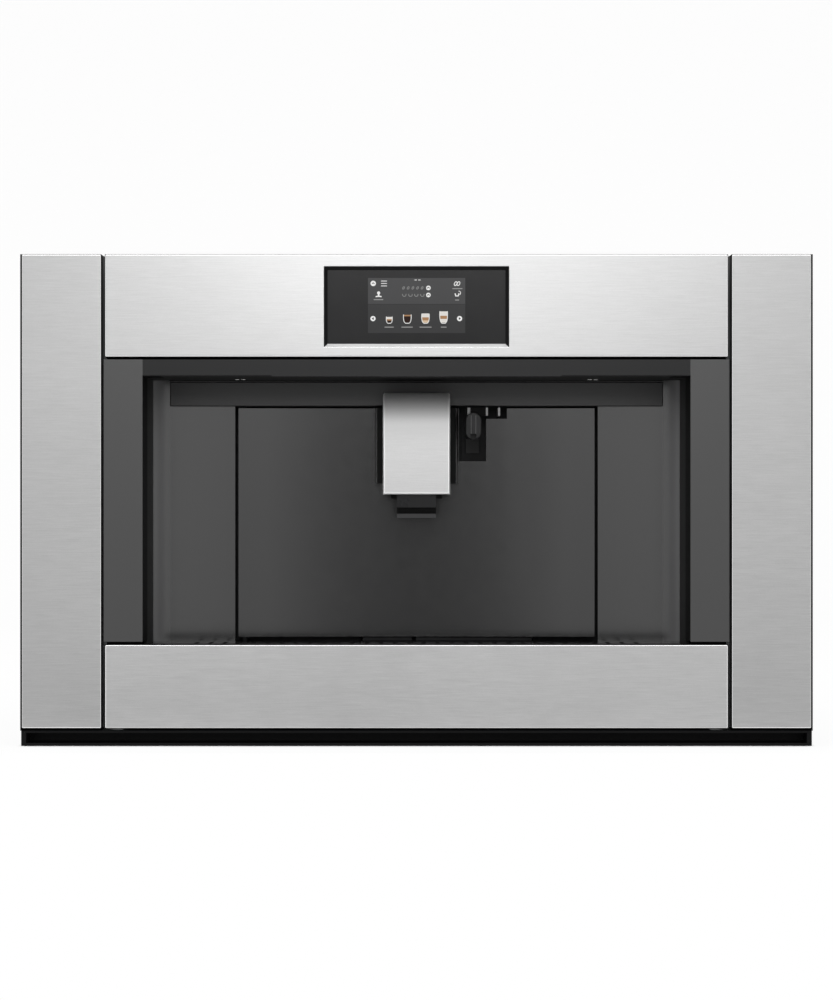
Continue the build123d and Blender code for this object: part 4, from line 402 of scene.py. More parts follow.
def brushed_steel(name, colour, roughness, face=None):
    """Stainless steel brushed along X: fine scratches under longer streaks. With the depth of a
    front face given, the broken edge behind it is smoother and painted pale, a painted highlight,
    and the folds behind it and the trims' outer returns are painted black, painted shade."""
    steel = Finish(name, colour, roughness, 1.0, Specular_IOR_Level=0.05)
    fine = steel.noise((70, 1000, 1900), 3.0, 0.7)
    streak = steel.noise((38, 500, 1100), 4.0, 0.75)
    cloud = steel.noise((5, 5, 7), 2.0)
    both = steel.sum_of(steel.spread(fine, -0.5, 0.5), steel.spread(streak, -1.0, 1.0))
    grain = steel.spread(steel.noise(1100, 1.0), -0.35, 0.35)
    marks = steel.spread(steel.sum_of(both, grain), 0.0, 1.0, -1.5, 1.5)
    steel.tone(marks, 0.09)
    patches = steel.spread(cloud, roughness - 0.02, roughness + 0.02)
    steel.put("Roughness", steel.sum_of(steel.spread(marks, -0.05, 0.05, 0.0, 1.0), patches))
    steel.bump(fine, 0.00001, 0.25)
    if face is not None:
        # painted highlight: the broken edge is smoother metal painted pale
        edge = steel.band("Y", face + EDGE_START, face + 1.0, 0.00003)
        steel.zone(edge, (0.93, 0.93, 0.93), 0.22)
        # painted shade: the folds behind the edge are painted black
        fold = steel.band("Y", face + FOLD_START, face + 1.0, 0.00005)
        steel.zone(fold, FOLD_SHADE, 0.6, 0.0)
        # painted shade: the outer returns of the trims are painted black
        outer = high("right_trim_panel")[0] - TRIM_RETURN
        inside = steel.band("X", -outer, outer, 0.00005)
        steel.zone(steel.outside(inside), FOLD_SHADE, 0.6, 0.0)
    return steel


def satin_paint(name, colour, roughness, specular=0.5):
    """Sprayed paint: fine orange peel, with faint unevenness in its colour and sheen."""
    paint = Finish(name, colour, roughness, Specular_IOR_Level=specular, IOR=1.6)
    paint.tone(paint.noise(170, 4.0), 0.05)
    paint.rough(paint.noise(90, 4.0, 0.7), roughness - 0.01, roughness + 0.01)
    paint.bump(paint.noise(650, 2.0), 0.00001, 0.05)
    return paint


def moulded_plastic(name, colour, roughness, depth, specular=0.5):
    """Moulded plastic: spark-eroded texture of small pits, with a faint flow tint."""
    plastic = Finish(name, colour, roughness, Specular_IOR_Level=specular)
    pits = plastic.cells(1400)
    plastic.tone(plastic.noise(14, 3.0), 0.1)
    plastic.rough(plastic.noise(90, 4.0), roughness - 0.07, roughness + 0.07)
    plastic.bump(pits.outputs["Distance"], depth, 0.5)
    return plastic


def gloss_plastic(name, colour, roughness, specular=0.5):
    """Polished plastic: nearly smooth, with hairline wiping marks in its sheen."""
    gloss = Finish(name, colour, roughness, Specular_IOR_Level=specular)
    gloss.rough(gloss.noise((40, 160, 300), 5.0, 0.7), roughness - 0.04, roughness + 0.08)
    gloss.tone(gloss.noise(20, 2.0), 0.08)
    gloss.bump(gloss.noise(120, 2.0), 0.00001, 0.12)
    return gloss


def zinc_sheet(name, colour, roughness):
    """Zinc-plated sheet: crystal cells of slightly different tone, under rolling lines."""
    zinc = Finish(name, colour, roughness, 1.0)
    crystals = zinc.cells(150)
    zinc.tone(crystals.outputs["Color"], 0.06)
    zinc.rough(zinc.noise((25, 300, 25), 4.0), roughness - 0.06, roughness + 0.1)
    zinc.bump(zinc.noise((30, 600, 30), 3.0), 0.00001, 0.3)
    return zinc


# ---- what a user may change ---------------------------------------------------------------


def shade(name, words, value):
    """A colour that a user may change."""
    return FloatVectorProperty(
        name=name, description=words, default=value, min=0.0, max=1.0, size=3, subtype="COLOR"
    )


def span(name, words, value):
    """A length that a user may change."""
    return FloatProperty(
        name=name, description=words, default=value, min=0.0, unit="LENGTH", precision=5
    )


def strength(name, words, value):
    """A strength of light, or a share of one, that a user may change."""
    return FloatProperty(name=name, description=words, default=value, min=0.0)


def directions(name, words, value):
    """Two limits of a direction between which the room's light fades."""
    return FloatVectorProperty(name=name, description=words, default=value, size=2, precision=3)


class FinishSettings(PropertyGroup):
    """Colours of the finishes"""

    steel: shade("Brushed steel", "Colour of the front panels", (0.5, 0.5, 0.5))
    cavity: shade("Cavity paint", "Grey paint of the recess", (0.018, 0.018, 0.0182))
    black: shade("Black parts", "Paint and plastic of the dark parts", (0.012, 0.012, 0.013))
    zinc: shade("Zinc sheet", "Plated steel of the carcass", (0.47, 0.48, 0.49))
    smooth: FloatProperty(
        name="Smooth angle",
        description="Facets that meet at less than this angle shade as one surface",
        default=math.radians(28.0),
        subtype="ANGLE",
    )


class ScreenSettings(PropertyGroup):
    """Symbols on the screen"""

    line: span("Line width", "Width of the lines of the symbols", 0.00045)
    proud: span("Layer", "How far the symbols stand on the glass", 0.00003)
    symbol: shade("Symbols", "Colour of the lit symbols", (0.85, 0.85, 0.84))
    glow: strength("Glow", "Light given out by the symbols", 0.9)


class DetailSettings(PropertyGroup):
    """Screws and bars"""

    screw: span("Screw head", "Radius of a panel screw's head", 0.0035)
    head: span("Head height", "How far a panel screw's head stands proud", 0.0018)
    bar_height: span("Nozzle bar", "Height of the bars beside the nozzle", 0.0081)
    bar_edge: span("Bar edge", "Rounding of the bars beside the nozzle", 0.0003)
    rows: IntProperty(
        name="Screw rows", description="Screws down each side of a panel", default=4, min=2
    )


class LightSettings(PropertyGroup):
    """Room, soft boxes and floor"""

    world: strength("Room", "Strength of the even room light", 1.0)
    ahead: strength("Front", "Strength of the room in front", 0.9)
    quiet: strength("Low front", "Share of light left low in front", 0.594)
    gap: strength("Gap", "Share of light left in the gap in front", 0.09)
    front_side: directions("Front spread", "Y between which the front end fades", (-0.975, -0.636))
    front_height: directions("Front height", "Z between which the front end fades", (-0.322, 0.12))
    gap_side: directions("Gap width", "X between which the gap fades", (0.035, 0.056))
    gap_height: directions("Gap height", "Z between which the gap fades", (0.046, 0.109))
    front: strength("Front box", "Power of the soft box in front", 14.5)
    top: strength("Top box", "Power of the soft box above", 24.0)
    floor: shade("Floor", "Colour of the pale floor", (0.84, 0.84, 0.84))
    front_reach: span("Floor to the front", "How far the floor runs forward", 0.302)
    reach: span("Floor size", "Half the width of the floor", 6.0)


# ---- operators ----------------------------------------------------------------------------


def steel_group():
    """Geometry nodes that join a CAD node's triangles and smooth what meets at a small angle."""
    group = bpy.data.node_groups.new("smooth_sheet", "GeometryNodeTree")
    group.interface.new_socket("Geometry", in_out="INPUT", socket_type="NodeSocketGeometry")
    group.interface.new_socket("Geometry", in_out="OUTPUT", socket_type="NodeSocketGeometry")
    tree = Nodes(group)
    start = tree.add("NodeGroupInput").outputs[0]
    merge = tree.add("GeometryNodeMergeByDistance", {"Geometry": start, "Distance": MERGE})
    faces = tree.add("GeometryNodeSetShadeSmooth", {"Geometry": merge.outputs[0]})
    angle = tree.add("GeometryNodeInputMeshEdgeAngle").outputs["Unsigned Angle"]
    limits = {"A": angle, "B": bpy.context.scene.machine_finish.smooth}
    sharp = tree.add("FunctionNodeCompare", limits, operation="GREATER_THAN")
    inputs = {"Geometry": faces.outputs[0], "Selection": sharp.outputs[0], "Shade Smooth": False}
    edges = tree.add("GeometryNodeSetShadeSmooth", inputs, domain="EDGE")
    tree.add("NodeGroupOutput", {0: edges.outputs[0]})
    return group


# Nodes whose edges are broken, by the width of that edge.
BROKEN_EDGES = {
    0.0006: (
        "fascia_panel", "bottom_panel", "left_trim_panel", "right_trim_panel", "spout_cover",
        "vent_strip",
    ),
    0.0004: ("cavity_frame", "header_cover", "display_bezel", "spout_body", "grind_knob"),
    0.0003: (
        "spout_guide", "service_door", "hot_water_nozzle", "hot_water_spout", "power_switch",
    ),
}
SLOT_FINISH = {
    "stainless": "front", "cavity_grey": "cavity", "black_steel": "dark", "gloss_black": "gloss",
    "matt_black": "matt", "display_glass": "glass", "display_module": "module",
    "lamp_lens": "lens", "zinc_steel": "zinc", "clear_plastic": "tank", "grey_plastic": "grey",
    "cast_aluminium": "cast", "boiler_steel": "drawn", "circuit_board": "board",
}
NODE_FINISH = {
    "left_trim_panel": "trim", "right_trim_panel": "trim", "bottom_panel": "foot",
    "display_bezel": "bezel", "cavity_frame": "frame", "left_cavity_wall": "dull",
    "right_cavity_wall": "dull", "cavity_ceiling": "dull", "header_cover": "header",
    "cavity_back_panel": "wing", "spout_guide": "guide", "spout_body": "body",
    "spout_cover": "cover", "hot_water_nozzle": "nozzle", "hot_water_spout": "water_spout",
}


class COFFEE_OT_finishes(Operator):
    """Gives every part of the machine its finish"""

    bl_idname = "coffee.finishes"
    bl_label = "Finishes"

    def execute(self, context):
        choice = context.scene.machine_finish
        steel = tuple(choice.steel)
        black = tuple(choice.black)
        cavity = tuple(choice.cavity)
        face = low("fascia_panel")[1]
        # each part's steel is scaled by its share: lit copies of one steel, painted light
        finishes = {
            name: brushed_steel(f"{name}_steel", scaled(steel, share), FRONT_GRAIN, face)
            for name, share in STEEL_LIGHT_SHARES.items()
        }
        finishes |= {
            # the cover's steel is a lighter copy of the front steel: painted light
            "cover": self.cover_steel(scaled(steel, 1.13)),
            "cavity": satin_paint("cavity_paint", scaled(cavity, 0.8), 0.14, 1.0),
            "wing": self.wing_paint(cavity),
            "frame": self.frame_paint(cavity),
            "dull": satin_paint("dull_paint", scaled(cavity, 0.8), 0.6, 0.12),
            "header": satin_paint("header_paint", scaled(cavity, 1.5), 0.42, 0.45),
            "dark": satin_paint("black_paint", scaled(black, 0.3), 0.5, 0.08),
            "gloss": gloss_plastic("gloss_black", black, 0.2, 0.4),
            "body": self.spout_plastic(),
            "matt": moulded_plastic("matt_black", black, 0.55, 0.00002, 0.2),
            "guide": self.guide_plastic(),
            "water_spout": self.water_spout_plastic(),
            "nozzle": self.nozzle_plastic(),
            "glass": self.screen_glass(),
            "module": moulded_plastic("display_housing", (0.06, 0.06, 0.062), 0.5, 0.00002),
            "lens": self.lens(),
            "zinc": zinc_sheet("zinc_plate", tuple(choice.zinc), 0.66),
            "tank": self.tank(),
            "grey": moulded_plastic("grey_plastic", (0.25, 0.25, 0.26), 0.5, 0.00003),
            "cast": self.cast(),
            "drawn": brushed_steel("boiler_steel", (0.58, 0.57, 0.55), 0.3),
            "board": self.board(),
            "bezel": self.bezel(black, steel),
        }
        table = {part["node"]: part["material_slot"] for part in frame["record"]["subparts"]}
        group = steel_group()
        for node, obj in NODES.items():
            key = NODE_FINISH.get(node) or SLOT_FINISH.get(table.get(node))
            if key is None:
                raise RuntimeError(f"no finish for {node}: {table.get(node)}")
            if not obj.material_slots:
                obj.data.materials.append(finishes[key].material)
            for place in obj.material_slots:
                place.material = finishes[key].material
            smooth = obj.modifiers.new("smooth_sheet", "NODES")
            smooth.node_group = group
        for width, nodes in BROKEN_EDGES.items():
            for node in nodes:
                edge = NODES[node].modifiers.new("broken_edge", "BEVEL")
                edge.width = width
                edge.segments = 2
                edge.limit_method = "ANGLE"
                edge.angle_limit = BREAK_ANGLE
                edge.harden_normals = True
        return {"FINISHED"}

    @staticmethod
    def cover_steel(colour):
        """Brushed steel with a painted highlight down both sides and along the foot, and its fold
        under the top painted lighter, painted light, and made rougher.
        """
        cover = brushed_steel("cover_steel", colour, 0.42)
        lower, upper = low("spout_cover"), high("spout_cover")
        inside = cover.both(
            cover.band("X", lower[0] + COVER_HIGHLIGHT, upper[0] - COVER_HIGHLIGHT, 0.0001),
            cover.band("Z", lower[2] + COVER_HIGHLIGHT, upper[2] + 1.0, 0.0001),
        )
        # painted light: the fold under the top is painted lighter and made rougher
        drop, fade = COVER_FOLD
        fold = cover.band("Z", upper[2] - drop, 1.0, fade)
        cover.zone(fold, scaled(colour, 1.2), 0.72)
        # painted highlight down both sides and along the foot
        cover.zone(cover.outside(inside), (0.8, 0.8, 0.8), None)
        return cover

    @staticmethod
    def screen_glass():
        """Black glass with a lit area behind it, paler above its middle line."""
        glass = Finish("screen_glass", (0.024, 0.024, 0.0245), 0.08, Specular_IOR_Level=0.3)
        glass.rough(glass.noise(60, 3.0), 0.075, 0.085)
        glass.tone(glass.noise(30, 2.0), 0.08)
        x, z = GLASS_MIDDLE
        wide = glass.band("X", x + LCD_SIDES[0], x + LCD_SIDES[1])
        upper = glass.band("Z", z + LCD_UPPER[0], z + LCD_UPPER[1])
        under = glass.band("Z", z + LCD_LOWER[0], z + LCD_LOWER[1])
        tall = glass.sum_of(upper, glass.both(under, 0.5))
        light = glass.both(glass.both(wide, tall), 0.04)
        glass.put("Emission Color", (0.98, 0.98, 1.0, 1.0))
        glass.put("Emission Strength", light)
        return glass

    @staticmethod
    def lens():
        """Frosted lens: small cells on a pale plastic."""
        lens = Finish("lamp_lens", (0.85, 0.85, 0.83), 0.2, Specular_IOR_Level=0.6)
        lens.bump(lens.cells(700).outputs["Distance"], 0.00005, 0.4)
        lens.tone(lens.noise(50, 2.0), 0.05)
        return lens

    @staticmethod
    def tank():
        """Clear plastic, slightly clouded and wavy."""
        tank = Finish("tank_plastic", (0.7, 0.74, 0.76), 0.12, Transmission_Weight=0.75, IOR=1.49)
        tank.rough(tank.noise(50, 3.0), 0.08, 0.2)
        tank.tone(tank.noise(16, 2.0), 0.06)
        tank.bump(tank.noise((80, 80, 12), 2.0), 0.00005, 0.2)
        return tank

    @staticmethod
    def cast():
        """Cast metal: a coarse grain and patches of duller skin."""
        cast = Finish("cast_aluminium", (0.6, 0.6, 0.61), 0.5, 1.0)
        cast.tone(cast.noise(45, 5.0), 0.12)
        cast.rough(cast.noise(200, 3.0), 0.42, 0.6)
        cast.bump(cast.noise(900, 3.0), 0.00008, 0.6)
        return cast

    @staticmethod
    def board():
        """Lacquered board: copper tracks as faint paler lines under green lacquer."""
        board = Finish("circuit_board", (0.03, 0.14, 0.06), 0.35)
        tracks = board.cells(260)
        copper = board.spread(tracks.outputs["Distance"], 0.0, 1.0, 0.45, 0.55)
        board.put("Base Color", board.mixed(copper, (0.02, 0.11, 0.045), (0.05, 0.2, 0.09)))
        board.bump(tracks.outputs["Distance"], 0.00004, 0.4)
        return board

    @staticmethod
    def frame_paint(colour):
        """Recess paint whose top band and inner returns are painted darker and duller, painted
        shade.
        """
        paint = satin_paint("frame_paint", scaled(colour, 0.9), 0.34, 0.74)
        face = low("cavity_frame")[1]
        # painted shade: the top band between the side strips is a dark, duller metal
        middle = paint.band("X", -RECESS_HALF, RECESS_HALF, 0.0001)
        paint.zone(middle, scaled(colour, 1.8), 0.4, 1.0)
        # painted shade: the inner returns are painted darker and duller
        behind = paint.band("Y", face + RETURN_START, face + 1.0, 0.0002)
        paint.zone(behind, scaled(colour, 0.7), 0.75, 1.0)
        return paint

    @staticmethod
    def spout_plastic():
        """Black spout moulding: its groove painted near-black and dull as painted shade, the lip
        under the groove painted paler as a painted highlight, and its sides beside the outlet
        painted near-black as painted shade.
        """
        body = moulded_plastic("spout_plastic", (0.015, 0.015, 0.0155), 0.3, 0.00001, 0.15)
        foot = low("spout_body")[2]
        # painted shade in the groove
        groove = body.band("Z", foot + OUTLET_LIP, foot + OUTLET_GROOVE, 0.0001)
        body.zone(groove, SPOUT_SHADE, 0.8)
        # painted highlight on the lip
        lip = body.band("Z", foot - 0.01, foot + OUTLET_LIP, 0.0001)
        body.zone(lip, (0.042, 0.042, 0.043), 0.3)
        # painted shade beside the outlet
        aside = body.band("X", -OUTLET_HALF - 0.0002, OUTLET_HALF + 0.0002, 0.0001)
        body.zone(body.outside(aside), SPOUT_SHADE, 0.8)
        return body

    @staticmethod
    def nozzle_plastic():
        """Black nozzle moulding whose plate under the spout is a little paler."""
        nozzle = moulded_plastic("nozzle_plastic", (0.002, 0.002, 0.002), 0.5, 0.00001, 0.1)
        plate_top = low("hot_water_spout")[2] + 0.002
        nozzle.zone(nozzle.band("Z", -1.0, plate_top, 0.0002), (0.036, 0.036, 0.0365), 0.4)
        return nozzle

    @staticmethod
    def water_spout_plastic():
        """Grey spout moulding: painted highlights along the edges of its spine and painted shade
        in the notch at its tip.
        """
        spout = moulded_plastic(
            "water_spout_plastic", (0.013, 0.013, 0.0135), 0.35, 0.00001, 0.3
        )
        lower, upper = low("hot_water_spout"), high("hot_water_spout")
        middle, tip = (lower[0] + upper[0]) / 2, lower[2] + TIP_HEIGHT
        above = spout.band("Z", tip, upper[2] - SPINE_DROP, 0.0001)
        wide, narrow = (
            spout.band("X", middle - half, middle + half, 0.0001)
            for half in (SPINE_HALF + SPINE_HIGHLIGHT, SPINE_HALF - SPINE_HIGHLIGHT)
        )
        # painted highlights beside the spine
        lines = spout.both(spout.both(wide, spout.outside(narrow)), above)
        spout.zone(lines, (0.09, 0.09, 0.09), 0.3)
        # painted shade in the notch at the tip
        notch = spout.band("X", middle - TIP_HALF, middle + TIP_HALF, 0.0001)
        below = spout.band("Z", -1.0, tip, 0.0001)
        spout.zone(spout.both(notch, below), (0.003, 0.003, 0.003), 0.6)
        return spout

    @staticmethod
    def guide_plastic():
        """Black guide with a painted highlight, a brighter metal line, down both outer edges."""
        guide = moulded_plastic("guide_plastic", (0.003, 0.003, 0.003), 0.5, 0.00002, 0.1)
        outer = high("spout_guide")[0] - GUIDE_HIGHLIGHT
        inside = guide.band("X", -outer, outer, 0.0002)
        # painted highlight down both outer edges
        guide.zone(guide.outside(inside), (0.34, 0.34, 0.34), 0.3, 1.0)
        return guide

    @staticmethod
    def wing_paint(colour):
        """Cavity paint, painted paler where it runs up to the side walls: painted light there."""
        wing = satin_paint("wing_paint", colour, 0.16, 0.95)
        # painted light beside the side walls
        plain = RECESS_HALF - WING_LIGHT_EDGE
        middle = wing.band("X", -plain, plain, WING_LIGHT_FADE)
        wing.zone(wing.outside(middle), scaled(colour, 10.0), 0.16)
        return wing

    @staticmethod
    def bezel(black, steel):
        """Frame painted dull black, with its lower sloping face, up to its mitres, as bright
        steel:
        the steel there is a painted highlight and the black on the other slopes painted shade.
        """
        black = scaled(black, 0.3)
        bezel = Finish("bezel", black, 0.4)
        x, z = GLASS_MIDDLE
        side = bezel.worked("ABSOLUTE", bezel.worked("SUBTRACT", bezel.along("X"), x))
        mitre = bezel.sum_of(side, bezel.along("Z"))
        edge = BEZEL_HALF + z - BEZEL_DROP
        # painted highlight on the lower slope; the other slopes stay black as painted shade
        slope = bezel.both(
            bezel.spread(mitre, 1.0, 0.0, edge - 0.0001, edge + 0.0001),
            bezel.band("Z", z - 1.0, z - BEZEL_DROP, 0.0001),
        )
        bezel.put("Base Color", bezel.mixed(slope, black, scaled(steel, 1.35)))
        bezel.put("Metallic", slope)
        bezel.put("Specular IOR Level", 0.12)
        streak = bezel.noise((3, 900, 1500), 4.0, 0.7)
        bezel.rough(streak, 0.36, 0.5)
        bezel.bump(streak, 0.00001, 0.3)
        return bezel


# Screen symbols in millimetres from the middle of the glass. A button is x, z, radius and the way
# its arrow points, or 0 for up. A line is left, right and z. Beans and cups are x and z. The head
# is x, z and radius, and the spoon also points, start and turn. A drinking glass is x, top, half
# width and what fills it between two shares of its height.
BUTTONS = (
    (-41.5, 22.6, 2.6, 0), (-41.7, -11.1, 2.5, -1), (41.3, -11.1, 2.5, 1),
    (11.4, 18.3, 2.2, 0), (11.4, 11.5, 2.2, 0),
)
MENU = ((-34.0, -28.3, 24.9), (-34.0, -28.3, 22.6), (-34.0, -28.3, 20.2))
CLOCK = ((-1.9, 0.4, 25.9), (1.6, 3.9, 25.9))
LABELS = ((-41.0, -31.9, 7.1), (34.4, 44.0, 17.6), (37.0, 40.8, 6.7), (-30.6, -21.8, -19.3),
          (-14.4, -3.6, -19.3), (3.0, 14.4, -19.3), (23.4, 28.8, -19.3))
BEANS = ((-12.4, 18.3), (-8.0, 18.3), (-3.5, 18.3), (1.0, 18.3), (5.4, 18.3))
SMALL_CUPS = ((-11.7, 11.5), (-5.8, 11.5), (-0.2, 11.5), (5.6, 11.5))
CUP_BOWL = ((-1.7, 1.0), (-1.5, -0.6), (-0.8, -1.2), (0.8, -1.2), (1.5, -0.6), (1.7, 1.0))
HEAD = (-36.3, 13.5, 1.5)
SHOULDERS = ((-39.1, 9.9), (-37.5, 10.2), (-36.3, 10.3), (-35.1, 10.2), (-33.5, 9.9))
CHEST = ((-36.3, 9.6), (-36.3, 11.0), (-36.3, 12.6))
BEAN_PAIR = ((38.9 - 1.35, 22.4), (38.9 + 1.35, 22.4))
OPEN_CUP = ((37.0, 13.0), (37.6, 10.6), (40.0, 10.6), (40.7, 13.0))
SPOON = (40.4, 13.4, 1.9, 12, -60.0, 150.0)
GLASS_FOOT = -15.6
FILL_INSET = 0.35             # between a drink and its glass's side
GLASSES = {
    "short": (-26.1, -9.2, 3.0,
              (("coffee", 0.1, 0.42), ("cream", 0.42, 0.62), ("foam", 0.62, 0.95))),
    "long": (-8.8, -7.2, 3.9, (("coffee", 0.1, 0.8), ("cream", 0.8, 0.96))),
    "foamed": (8.6, -6.4, 3.8,
               (("milk", 0.06, 0.3), ("cream", 0.3, 0.62), ("foam", 0.62, 1.02))),
    "tall": (26.0, -4.0, 3.9,
             (("foam", 0.06, 0.36), ("cream", 0.36, 0.62), ("foam", 0.62, 0.98))),
}
DRINKS = {
    "coffee": (0.03, 0.017, 0.014), "cream": (0.4, 0.22, 0.11), "milk": (0.68, 0.52, 0.36),
    "foam": (0.75, 0.72, 0.68),
}
# Widths of the symbols' lines, in metres.
HOOK_LINE, TIP_LINE = 0.0008, 0.0027
WORD_LINE, LABEL_LINE = 0.00065, 0.0009
BEAN_LINE, PAIR_LINE = 0.0005, 0.00075
CUP_LINE, OPEN_CUP_LINE, SPOON_LINE, GLASS_LINE = 0.00055, 0.0012, 0.0006, 0.00075
SHOULDER_LINE, CHEST_LINE = 0.0012, 0.0016


class COFFEE_OT_screen(Operator):
    """Lays the lit symbols on the screen glass"""

    bl_idname = "coffee.screen"
    bl_label = "Screen symbols"

    def execute(self, context):
        choice = context.scene.machine_screen
        face = GLASS_FACE - choice.proud

        def line(points, width=None, closed=False, layer=0):
            path = np.asarray(points, float) / 1000 + GLASS_MIDDLE
            front = face - layer * choice.proud
            return swept_ribbon(path, width or choice.line, front, GLASS_FACE - front, closed)

        def disc(x, z, radius, layer=0):
            return line(ring_path(x, z, radius / 2), radius / 1000, True, layer)

        lit, faint, dark = [], [], []
        for x, z, radius, way in BUTTONS:
            lit.append(disc(x, z, radius))
            if way:
                tip = [(x - 0.75 * way, z), (x, z), (x + 1.15 * way, z)]
                dark.append(self.wedge(tip, TIP_LINE, line))
            else:
                hook = [(x - 1.2, z - 0.4), (x, z + 0.6), (x + 1.2, z - 0.4)]
                dark.append(line(hook, HOOK_LINE, layer=1))
        rows = ((*MENU, *CLOCK), WORD_LINE, lit), (LABELS, LABEL_LINE, faint)
        for places, width, group in rows:
            for left, right, z in places:
                group.append(line([(left, z), ((left + right) / 2, z), (right, z)], width))
        # a bean is a ring drawn out to an oval and leant over
        for x, z in BEANS:
            bean = ring_path(0, 0, 1.0, 16) * (0.75, 1.35) @ np.array([[0.85, -0.5], [0.5, 0.85]])
            faint.append(line(bean + (x, z), BEAN_LINE, True))
        for place in SMALL_CUPS:
            faint.append(line(np.add(CUP_BOWL, place), CUP_LINE))
        lit += [disc(*HEAD), line(SHOULDERS, SHOULDER_LINE), line(CHEST, CHEST_LINE)]
        for place in BEAN_PAIR:
            bean = ring_path(0, 0, 1.5, 20) * (0.8, 1.35) @ np.array([[0.9, -0.42], [0.42, 0.9]])
            lit.append(line(bean + place, PAIR_LINE, True))
        lit += [line(OPEN_CUP, OPEN_CUP_LINE), line(ring_path(*SPOON), SPOON_LINE)]
        self.lay("screen_symbols", lit, tuple(choice.symbol), choice.glow)
        self.lay("screen_labels", faint, scaled(choice.symbol, 0.36), choice.glow)
        self.lay("screen_arrows", dark, (0.03, 0.03, 0.03), 1.0)

        layers = {name: [] for name in DRINKS}
        rims = []
        for x, top, half, fills in GLASSES.values():
            tall = top - GLASS_FOOT
            rims.append(line(self.bowl(x, half, tall), GLASS_LINE))
            for name, start, end in fills:
                levels = np.linspace(start, end, 5)
                width = self.half_width(levels, half) - FILL_INSET
                layers[name].append(self.filled(x, GLASS_FOOT + levels * tall, width, face))
        self.lay("glass_outlines", rims, (0.8, 0.8, 0.78), choice.glow)
        for name, parts in layers.items():
            self.lay(f"drink_{name}", parts, DRINKS[name], choice.glow)
        return {"FINISHED"}

    @staticmethod
    def half_width(level, half):
        """Half width of a drinking glass at a share of its height: the half width times
        0.42 + 0.58 * sin(quarter turn * level ** 0.5) - 0.08 * level ** 3, so the foot is round
        and the rim leans in."""
        level = np.clip(level, 0, 1)
        return half * (0.42 + 0.58 * np.sin(np.pi / 2 * level ** 0.5) - 0.08 * level**3)

    def bowl(self, x, half, tall):
        """Outline of a glass: down the left side by half_width, across and up the right side."""
        level = np.linspace(1.0, 0.0, 9)
        width = self.half_width(level, half)
        z = GLASS_FOOT + level * tall
        down = np.stack([x - width, z], 1)
        up = np.stack([x + width, z], 1)[::-1]
        return np.concatenate([down, up])

    @staticmethod
    def filled(x, z, width, face):
        """Flat plate between x - width and x + width at each height z, as a swept section."""
        rows = np.stack([x - width, x + width], 1) / 1000 + GLASS_MIDDLE[0]
        z = z / 1000 + GLASS_MIDDLE[1]
        front = np.stack([rows, np.full(rows.shape, face), np.repeat(z[:, None], 2, 1)], -1)
        back = front.copy()
        back[..., 1] = GLASS_FACE
        section = np.concatenate([front, back[:, ::-1]], 1)
        return section.reshape(-1, 3), section_faces(len(z))

    @staticmethod
    def wedge(tip, width, line):
        """Arrow head: a bar whose section shrinks to a tenth at its last point."""
        points, faces = line(tip, width, layer=1)
        rows = points.reshape(3, 4, 3)
        centre = rows.mean(1)[:, None]
        share = np.array([1.0, 0.62, 0.1])[:, None]
        rows = rows.copy()
        rows[..., 2] = centre[..., 2] + (rows[..., 2] - centre[..., 2]) * share
        return rows.reshape(-1, 3), faces

    @staticmethod
    def lay(name, parts, colour, glow):
        """A lit symbol: its light, slightly uneven, and no sheen of its own."""
        light = Finish(name, scaled(colour, 0.1), 0.4, Specular_IOR_Level=0.05)
        grain = light.noise(900, 2.0)
        light.tone(grain, 0.1)
        light.put("Emission Color", light.mixed(grain, scaled(colour, 0.9), colour))
        light.put("Emission Strength", glow)
        piece(name, joined(parts), "machine", light.material)


class COFFEE_OT_screws(Operator):
    """Puts panel screws down both sides of the rear panel and along the top of the side panels"""

    bl_idname = "coffee.screws"
    bl_label = "Panel screws"

    def execute(self, context):
        choice = context.scene.machine_detail
        screw = zinc_sheet("screw_zinc", (0.62, 0.62, 0.6), 0.35)
        across, up = choice.screw, choice.head
        # place along the axis and radius, from under the head over its rim into the recess
        profile = [
            (-up * 0.3, across * 0.96), (up * 0.35, across), (up * 0.75, across * 0.86),
            (up, across * 0.55), (up, across * 0.42), (up * 0.45, across * 0.3),
            (up * 0.4, across * 0.04),
        ]
        parts = []
        lower, upper = low("rear_panel"), high("rear_panel")
        for z in np.linspace(lower[2] + SCREW_INSET, upper[2] - SCREW_INSET, choice.rows):
            for x in (lower[0] + SCREW_INSET, upper[0] - SCREW_INSET):
                parts.append(turned_surface(profile, (x, upper[1], z), (0, 1, 0)))
        piece("rear_screws", joined(parts), "machine", screw.material, True)
        parts = []
        for side, node, edge in ((-1, "left_side_panel", low), (1, "right_side_panel", high)):
            outer = edge(node)[0]
            lower, upper = low(node), high(node)
            front, back = lower[1] + SIDE_SCREW_FRONT, upper[1] - SIDE_SCREW_BACK
            for y in np.linspace(front, back, choice.rows):
                place = (outer, y, upper[2] - SCREW_INSET)
                parts.append(turned_surface(profile, place, (side, 0, 0)))
        piece("side_screws", joined(parts), "machine", screw.material, True)
        return {"FINISHED"}


